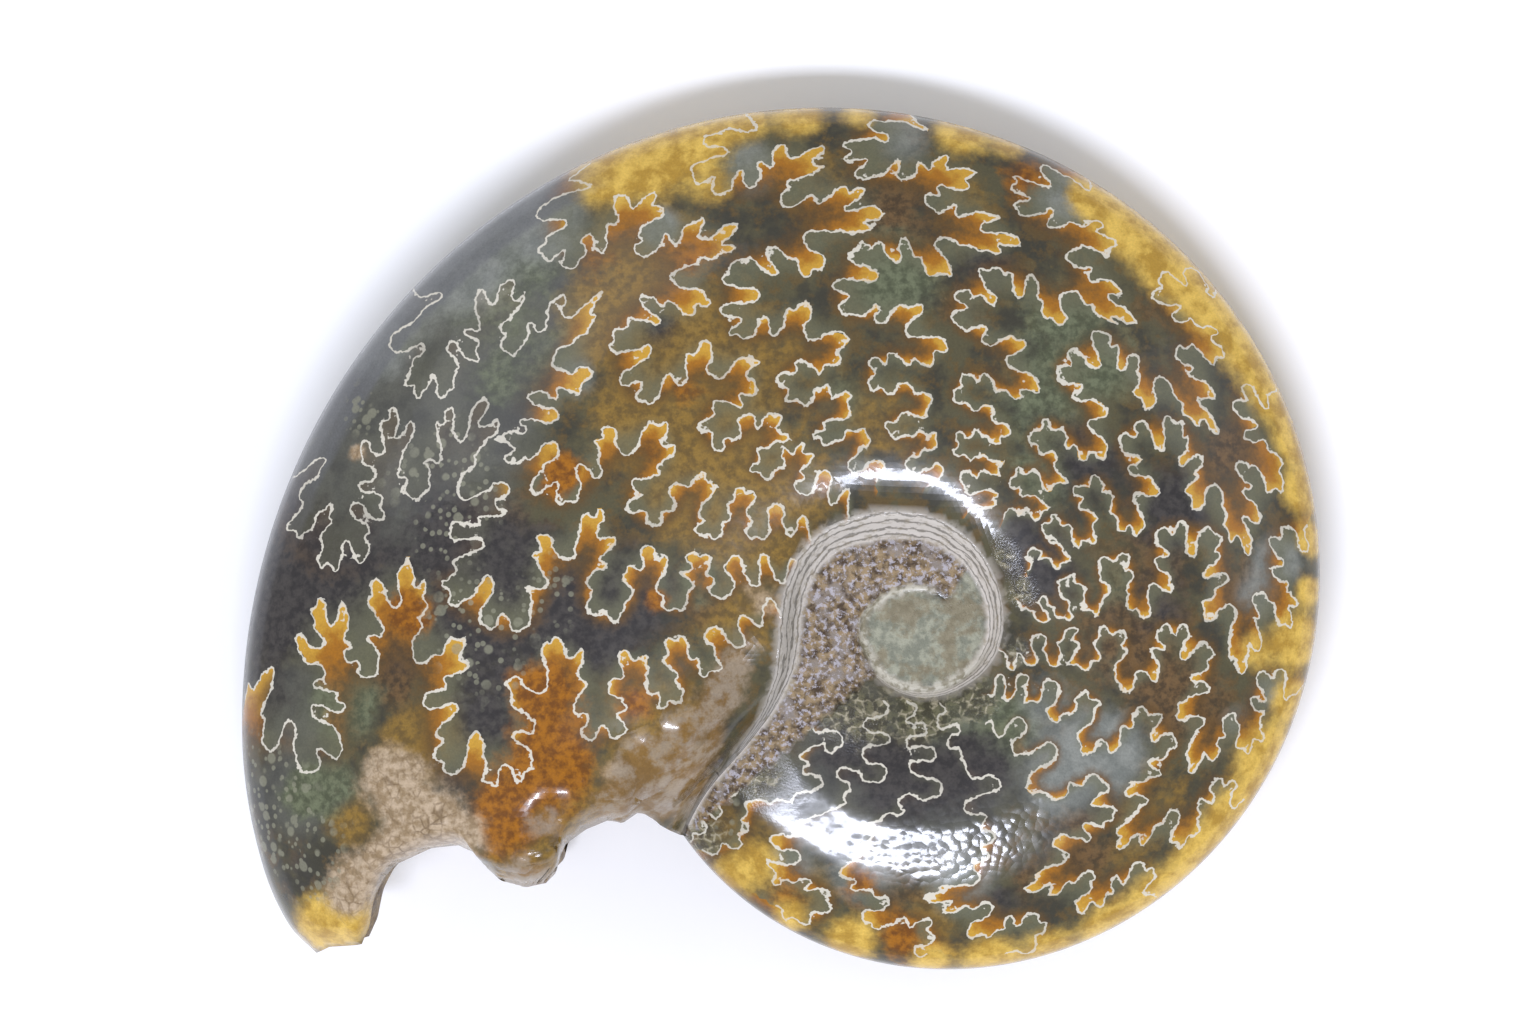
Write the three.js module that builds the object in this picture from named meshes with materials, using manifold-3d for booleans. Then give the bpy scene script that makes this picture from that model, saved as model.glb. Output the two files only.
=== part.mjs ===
// A polished ammonite fossil, lying on its side: one solid piece of calcite and stone.
// Millimetres, +Z up. The shell is modelled in a frame of its own, with its mid-plane level and
// its umbilicus (the central hollow) at the origin. It is then leaned a few degrees on to its
// resting spot, because its flanks thicken towards the broken mouth.
// An angle runs along the spiral in degrees and grows towards the mouth. A radius is measured
// from the middle of the umbilicus. A share runs from 0 at the keel to 1 at the seam, where a
// turn of the shell meets the turn inside it.

import * as THREE from "three";
import Module from "manifold-3d";

// Driving dimensions
const KEEL_RADIUS = 33.33; // of the outer edge at angle 0, about the coiling axis
const GROWTH = 0.14273; // in each radian the keel grows by e to this power
const COILING_AXIS = new THREE.Vector2(-2.28, -0.68);
const HALF_WIDTH = 7.4; // of the turn at angle 0
const MOUTH_ANGLE = 220.7; // where the last turn parts from the turn inside it
const HOLLOW_END_ANGLE = -304; // where the inner turn has sunk into the stone fill
const HOLLOW_FADE = 40; // degrees over which it sinks
const FILL_HEIGHT = 2.7; // of the stone fill in the umbilicus, above the mid-plane
const UP = new THREE.Vector3(-0.0744, -0.0326, 0.9967).normalize(); // as the shell lies
const REST_HEIGHT = 9.64; // of the middle of the umbilicus above the table
const UMBILICUS_PLACE = new THREE.Vector2(11.73, -6.93); // from the middle of the whole

// The broken end
const EDGE_ROUNDING = 2; // how far its worn edge reaches on to the flank
const EDGE_DROP = 0.3; // share of the half width that the edge has lost
const END_HOLLOW = 2.4; // how deep the broken face is dished
const END_FLUTES = 7; // ridges along the broken face

// Resolution
const COLUMN_STEP = 6.2; // degrees
const MOUTH_COLUMNS = 8; // over the last stretch, closer together towards the broken end
const MOUTH_STRETCH = 30; // degrees
const FLANK_ROWS = 20;
const WALL_ROWS = 4;
const END_ROWS = 8; // across the broken end, from flank to flank
const CROWDING_AT_MOUTH = 1.6;
const CROWDING_AT_KEEL = 1.25;

const TURN = 360;
const { clamp, lerp, smoothstep, degToRad } = THREE.MathUtils;

// A curve through [place, value] pairs that never overshoots them
function through(pairs) {
  const last = pairs.length - 1;
  const slope = (i) => (pairs[i + 1][1] - pairs[i][1]) / (pairs[i + 1][0] - pairs[i][0]);
  const tangents = pairs.map((pair, i) => {
    if (i === 0) return slope(0);
    if (i === last) return slope(last - 1);
    const product = slope(i - 1) * slope(i);
    return product <= 0 ? 0 : (2 * product) / (slope(i - 1) + slope(i));
  });
  return (place) => {
    const x = clamp(place, pairs[0][0], pairs[last][0]);
    const i = clamp(pairs.findLastIndex((pair) => pair[0] <= x), 0, last - 1);
    const span = pairs[i + 1][0] - pairs[i][0];
    const u = (x - pairs[i][0]) / span;
    const before = pairs[i][1] * (1 + 2 * u) + tangents[i] * span * u;
    const after = pairs[i + 1][1] * (3 - 2 * u) - tangents[i + 1] * span * (1 - u);
    return before * (1 - u) ** 2 + after * u ** 2;
  };
}

// The keel is a logarithmic spiral about the coiling axis. Its radius about the umbilicus is
// found by stepping towards it from a first guess.
function spiralRadius(angle) {
  const direction = new THREE.Vector2(Math.cos(degToRad(angle)), Math.sin(degToRad(angle)));
  let radius = KEEL_RADIUS * Math.exp(GROWTH * degToRad(angle));
  for (let step = 0; step < 12; step += 1) {
    const arm = direction.clone().multiplyScalar(radius).sub(COILING_AXIS);
    const turned = Math.asin(direction.cross(arm) / arm.length());
    const reach = KEEL_RADIUS * Math.exp(GROWTH * (degToRad(angle) + turned));
    radius *= reach / arm.length();
  }
  return radius;
}

// What changes along the spiral, as [angle, value]
const keelWear = through([[180, 0], [190, 0.001], [200, 0.01], [205, 0.024], [208.2, 0.048]]);
const keelRadius = (angle) => spiralRadius(angle) * (1 - keelWear(angle));
const seamRadius = through([
  [-304, 2.4], [-265, 2.9], [-231, 3.6], [-205, 4.4], [-185, 5.15], [-160, 5.3], [-100, 5.1],
  [-50, 4.7], [0, 4.75], [40, 5.2], [69, 6], [89, 6.75], [108, 7.4], [124, 8.25], [139, 9.35],
  [154, 10], [170, 10.2], [185, 10.4], [195, 11], [204, 12.6], [209, 14.4], [213.3, 17.5],
  [217, 22.3], [MOUTH_ANGLE, keelRadius(MOUTH_ANGLE - TURN)],
]);
const wallRun = through([
  [-304, 0.3], [-200, 0.6], [-139, 0.6], [-80, 0.7], [-20, 1], [20, 1.1], [60, 1.6], [90, 2],
  [120, 2.4], [150, 2], [180, 1.7], [200, 1.7], [212, 1.5], [217, 0.9], [MOUTH_ANGLE, 0.4],
]);
const shoulderShare = through([
  [-304, 0.8], [-200, 0.8], [-139, 0.66], [-90, 0.62], [-50, 0.74], [-10, 0.84], [30, 0.87],
  [185, 0.87], [200, 0.78], [212, 0.5], [217, 0.3], [MOUTH_ANGLE, 0.16],
]);
const crestPlace = through([
  [-200, 0.62], [-139, 0.5], [-60, 0.52], [0, 0.62], [60, 0.66], [180, 0.64], [205, 0.5],
  [MOUTH_ANGLE, 0.4],
]);

// The flank's rise from keel to crest, as [way across, way up]
const flankRise = through([
  [0, 0], [0.02, 0.13], [0.06, 0.25], [0.12, 0.36], [0.3, 0.6], [0.6, 0.88], [1, 1],
]);

// The broken edge as seen from above, as [radius, angle], from the keel inwards
const brokenEdge = [
  [55.5, 208.2], [54.2, 208.2], [51.7, 209.3], [50.2, 207.9], [48.9, 206], [47.5, 204.7],
  [46.2, 204], [43, 203.9], [41, 204.8], [40.1, 206.2], [39.8, 208.4], [39.3, 210.5],
  [37.8, 212.7], [36.3, 213.6], [35.2, 213.2], [34.4, 211.9], [33.4, 210.7], [31.4, 210.4],
  [29.6, 210.9], [28.8, 212.5], [27.3, 212.4], [26.8, 214.2], [26.4, 217.1],
];

// Low lumps of crystal near the broken end, as [x, y, spread, height]
const lumps = [
  [-31, -18.2, 2.2, 0.7], [-24.8, -13.6, 2, 0.6], [-19, -9, 2.2, 0.7], [-16.6, -5.6, 1.8, 0.6],
  [-28.6, -12.4, 1.7, 0.5], [-44.2, -11.6, 2.4, 0.5], [-48.6, -17.2, 2, 0.5],
];

const halfWidth = (angle) => HALF_WIDTH * Math.exp(GROWTH * degToRad(angle));
const depth = (angle) => keelRadius(angle) - seamRadius(angle);
const wallShare = (angle) => 1 - wallRun(angle) / depth(angle);
const shareAt = (angle, radius) => clamp((keelRadius(angle) - radius) / depth(angle), 0, 1);
const radiusAt = (angle, share) => lerp(keelRadius(angle), seamRadius(angle), share);

// The broken end's angle at a share of the way from keel to seam
const brokenPlaces = brokenEdge.map(([radius, angle]) => [shareAt(angle, radius), angle]);
brokenPlaces[0][0] = 0;
brokenPlaces.push([1, MOUTH_ANGLE]);
function brokenAngle(share) {
  const i = clamp(brokenPlaces.findIndex((place) => place[0] >= share), 1, brokenPlaces.length - 1);
  const [from, to] = [brokenPlaces[i - 1], brokenPlaces[i]];
  return lerp(from[1], to[1], (share - from[0]) / (to[0] - from[0]));
}

// How much of its half width the flank keeps near the worn edge of the broken end
function edgeShare(angle, share) {
  const away = degToRad(brokenAngle(share) - angle) * radiusAt(angle, share);
  const drop = EDGE_DROP * (1 - clamp(away / EDGE_ROUNDING, 0, 1)) ** 2;
  return 1 - drop * (1 - smoothstep(share, 0.8, 1));
}

// Height of a turn above the mid-plane: it rises from the keel to the crest, falls a little to
// the shoulder, and drops down the umbilical wall to its foot on the turn inside
function turnHeight(angle, share, foot) {
  const top = halfWidth(angle) * edgeShare(angle, share);
  const wall = wallShare(angle);
  const crest = Math.min(crestPlace(angle), wall - 0.05);
  const shoulder = top * shoulderShare(angle);
  if (share < crest) return top * flankRise(share / crest);
  if (share < wall) return lerp(top, shoulder, ((share - crest) / (wall - crest)) ** 2);
  return lerp(shoulder, foot, smoothstep(share, wall, 1));
}

// Height inside the umbilicus, where the inner turn sinks into the stone fill
function hollowHeight(angle, radius) {
  const shown = clamp((angle - HOLLOW_END_ANGLE) / HOLLOW_FADE, 0, 1);
  return lerp(FILL_HEIGHT, turnHeight(angle, shareAt(angle, radius), FILL_HEIGHT), shown);
}

function lumpHeight(x, y) {
  return lumps.reduce((sum, [atX, atY, spread, height]) => {
    const away = Math.hypot(x - atX, y - atY) / spread;
    return sum + height * Math.exp(-away * away);
  }, 0);
}

// A point of the upper surface
function surfacePoint(angle, share) {
  const radius = radiusAt(angle, share);
  const x = radius * Math.cos(degToRad(angle));
  const y = radius * Math.sin(degToRad(angle));
  if (angle <= MOUTH_ANGLE - TURN) return [x, y, hollowHeight(angle, radius)];
  const foot = hollowHeight(angle - TURN, seamRadius(angle));
  const raised = smoothstep(share, 0, 0.1) * (1 - smoothstep(share, wallShare(angle), 1));
  return [x, y, turnHeight(angle, share, foot) + raised * lumpHeight(x, y)];
}

// The columns of points run from keel to seam. They start at the broken end and wind inwards,
// and a turn has a whole number of them, so that each meets one of the turn inside.
const counted = (count, make) => Array.from({ length: count }, (_, i) => make(i / count));
const otherColumns = Math.round((TURN - MOUTH_STRETCH) / COLUMN_STEP);
const turnAngles = [
  ...counted(MOUTH_COLUMNS, (part) => MOUTH_ANGLE - MOUTH_STRETCH * part ** CROWDING_AT_MOUTH),
  ...counted(otherColumns, (part) => MOUTH_ANGLE - lerp(MOUTH_STRETCH, TURN, part)),
];
const innerAngles = turnAngles.map((angle) => angle - TURN).filter((angle) => angle > HOLLOW_END_ANGLE);
const columnAngles = [...turnAngles, ...innerAngles];

function columnPoints(angle) {
  const inner = angle <= MOUTH_ANGLE - TURN;
  const start = inner ? shareAt(angle, seamRadius(angle + TURN)) : 0;
  const bend = smoothstep(angle, MOUTH_ANGLE - MOUTH_STRETCH, MOUTH_ANGLE);
  const wall = wallShare(angle);
  const shares = [
    ...counted(FLANK_ROWS, (part) => lerp(start, wall, part ** CROWDING_AT_KEEL)),
    ...counted(WALL_ROWS, (part) => lerp(wall, 1, part)),
    1,
  ];
  return shares.map((share) => surfacePoint(angle + bend * (brokenAngle(share) - MOUTH_ANGLE), share));
}

// The skin: two mirrored flanks that share the keel, and the broken face between them
function buildSkin() {
  const points = [];
  const triangles = [];
  const add = (point) => points.push(point) - 1;
  const triangle = (a, b, c) => new Set([a, b, c]).size === 3 && triangles.push([a, b, c]);
  const mirrored = ([x, y, z]) => [x, y, -z];
  const lastRow = FLANK_ROWS + WALL_ROWS;

  const upper = columnAngles.map((angle) => columnPoints(angle).map((point) => add(point)));
  upper.forEach((column, i) => {
    if (i >= turnAngles.length) column[0] = upper[i - turnAngles.length][lastRow];
  });
  const onMidPlane = (i, row) => (row === 0 && i < turnAngles.length) || (row === lastRow && i === 0);
  const lower = upper.map((column, i) =>
    column.map((index, row) => (onMidPlane(i, row) ? index : add(mirrored(points[index])))),
  );
  lower.forEach((column, i) => {
    if (i >= turnAngles.length) column[0] = lower[i - turnAngles.length][lastRow];
  });

  for (const [side, flip] of [[upper, false], [lower, true]]) {
    const face = (a, b, c) => (flip ? triangle(a, c, b) : triangle(a, b, c));
    for (let i = 0; i + 1 < side.length; i += 1) {
      for (let row = 0; row < lastRow; row += 1) {
        face(side[i][row], side[i][row + 1], side[i + 1][row + 1]);
        face(side[i][row], side[i + 1][row + 1], side[i + 1][row]);
      }
    }
    const innermost = side.slice(-turnAngles.length - 1).map((column) => column[lastRow]);
    const rim = [...innermost, ...side.at(-1).slice(0, -1).reverse()];
    const aside = degToRad(innerAngles.at(-1) - TURN / 4);
    const middle = add([Math.cos(aside), Math.sin(aside), flip ? -FILL_HEIGHT : FILL_HEIGHT]);
    rim.forEach((index, i) => face(middle, rim[(i + 1) % rim.length], index));
  }

  const acrossEnd = upper[0].map((index, row) => {
    const [x, y, z] = points[index];
    const direction = new THREE.Vector2(y, -x).normalize();
    return Array.from({ length: END_ROWS + 1 }, (_, j) => {
      if (j === 0) return index;
      if (j === END_ROWS) return lower[0][row];
      if (z < 1e-6) return index;
      const level = 1 - (2 * j) / END_ROWS;
      const flutes = 0.65 + 0.35 * Math.sin((END_FLUTES * Math.PI * row) / lastRow + 2 * level);
      const inwards = Math.min(END_HOLLOW, z / 3) * (1 - level ** 2) * flutes;
      return add([x + direction.x * inwards, y + direction.y * inwards, z * level]);
    });
  });
  for (let row = 0; row < lastRow; row += 1) {
    for (let j = 0; j < END_ROWS; j += 1) {
      triangle(acrossEnd[row + 1][j], acrossEnd[row][j], acrossEnd[row][j + 1]);
      triangle(acrossEnd[row + 1][j], acrossEnd[row][j + 1], acrossEnd[row + 1][j + 1]);
    }
  }
  return { points, triangles };
}

// The skin closes a solid, which is cut flat where it rests
const { Manifold, Mesh } = await Module().then((library) => {
  library.setup();
  return library;
});
function buildSolid() {
  const { points, triangles } = buildSkin();
  const skin = new Mesh({
    numProp: 3,
    vertProperties: new Float32Array(points.flat()),
    triVerts: new Uint32Array(triangles.flat()),
  });
  const rested = new Manifold(skin).trimByPlane(UP.toArray(), -REST_HEIGHT).getMesh();
  const geometry = new THREE.BufferGeometry();
  geometry.setAttribute("position", new THREE.BufferAttribute(rested.vertProperties, 3));
  geometry.setIndex(new THREE.BufferAttribute(rested.triVerts, 1));
  geometry.computeVertexNormals();
  return geometry;
}

const polishedStone = new THREE.MeshStandardMaterial({ color: 0x6f6138, roughness: 0.25, metalness: 0 });
const ammonite = new THREE.Mesh(buildSolid(), polishedStone);
ammonite.name = "ammonite";
ammonite.quaternion.setFromUnitVectors(UP, new THREE.Vector3(0, 0, 1));
ammonite.position.set(UMBILICUS_PLACE.x, UMBILICUS_PLACE.y, REST_HEIGHT);

const fossil = new THREE.Group();
fossil.add(ammonite);

export default fossil;
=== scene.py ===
import math

import bpy
import numpy as np
from mathutils import Matrix, Vector, kdtree
from mathutils.geometry import delaunay_2d_cdt


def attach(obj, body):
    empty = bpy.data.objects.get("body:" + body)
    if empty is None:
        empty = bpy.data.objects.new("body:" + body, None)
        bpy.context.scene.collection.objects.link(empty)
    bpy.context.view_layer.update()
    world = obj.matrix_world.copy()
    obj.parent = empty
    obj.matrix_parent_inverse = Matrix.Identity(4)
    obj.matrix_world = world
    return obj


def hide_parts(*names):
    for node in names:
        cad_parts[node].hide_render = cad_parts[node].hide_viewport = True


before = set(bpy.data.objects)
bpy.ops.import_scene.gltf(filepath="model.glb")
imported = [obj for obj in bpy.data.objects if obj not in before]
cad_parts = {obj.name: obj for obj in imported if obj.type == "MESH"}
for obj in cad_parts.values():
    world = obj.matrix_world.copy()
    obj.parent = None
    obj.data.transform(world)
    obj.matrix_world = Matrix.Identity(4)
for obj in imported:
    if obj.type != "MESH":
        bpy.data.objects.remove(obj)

# A polished ammonite fossil that lies on its side, with its suture lines, on a pale floor.
# The form follows part.mjs: millimetres in a frame of the shell's own, with the mid-plane level
# and the umbilicus (the central hollow) at the origin. An angle runs along the spiral in degrees
# and grows towards the mouth. A share runs from 0 at the keel to 1 at the seam.

bl_info = {
    "name": "Polished ammonite",
    "version": (1, 0, 0),
    "blender": (4, 5, 0),
    "location": "View3D > Sidebar > Ammonite",
    "description": "Builds a polished ammonite fossil and the floor, lights and camera round it",
    "category": "Add Mesh",
}

MM = 0.001
TURN = 360

# The form, as in part.mjs
KEEL_RADIUS = 33.33
GROWTH = 0.14273
COILING_AXIS = (-2.28, -0.68)
HALF_WIDTH = 7.4
MOUTH_ANGLE = 220.7
HOLLOW_END_ANGLE = -304
HOLLOW_FADE = 40
FILL_HEIGHT = 2.7
UP = Vector((-0.0744, -0.0326, 0.9967)).normalized()
REST_HEIGHT = 9.64
UMBILICUS_PLACE = (11.73, -6.93)
EDGE_ROUNDING = 2
EDGE_DROP = 0.3
END_HOLLOW = 2.4
END_FLUTES = 7
FLANK_PART = 20 / 24  # of the rows from keel to seam lie on the flank, the others on the wall
CROWDING_AT_KEEL = 1.25
CREST_GAP = 0.05  # the crest ends at least this share before the wall
SKIN_INSET = (0.9985, 0.9985, 0.988)  # keeps the smooth skin inside the facets of the part
TABLE_GAP = 0.002  # the skin keeps this far above the table, in millimetres

# The photograph's pixels
UMBILICUS_PIXEL = (928, 625)
MM_PER_PIXEL = 0.08
PICTURE_CENTRE = (768, 512)
PICTURE_WIDTH = 1536

# How finely the surface is divided, in millimetres
LINE_STEP = 0.3
LINE_SIDE = 0.2
FILL_STEP = 0.56
EDGE_STEP = 0.45
LINE_GAP = 0.15  # from the outline, and between a line and the points beside it
SIDE_GAP = 0.12  # cells that keep one point each of those beside the lines
FILL_GAP = 0.55 * FILL_STEP  # from the points of the fill to the others
TRACE_STEP = 0.1
KEEL_SAMPLES = 4000  # along each curve, before it is divided evenly
BROKEN_SAMPLES = 1500
SEAM_SAMPLES = 3000
END_ROWS = 26
FAR = 12.0  # stands for the distance from a line where there is none
HAIR = 1e-9  # too small to matter: holds a value inside its range, or tells a tie

# The colours, in degrees along the spiral and millimetres
DISC_MOUTH = 56  # the grey fill opens to the floor of the umbilicus above this angle
BEVEL_ANGLES = (124, 132, 160, 178)  # the darker band inside the outline, a painted reflection on the keel's polished bevel: start, full, fading, end
BEVEL_WIDTH = 2.9
BEVEL_SOFTNESS = 0.4
EASED_UP_TO = (140, 180)  # the shading of the shoulder is changed up to these angles
TEXTURE_MARGIN = 0.01  # round the halves of the texture, as a share of its width

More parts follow.
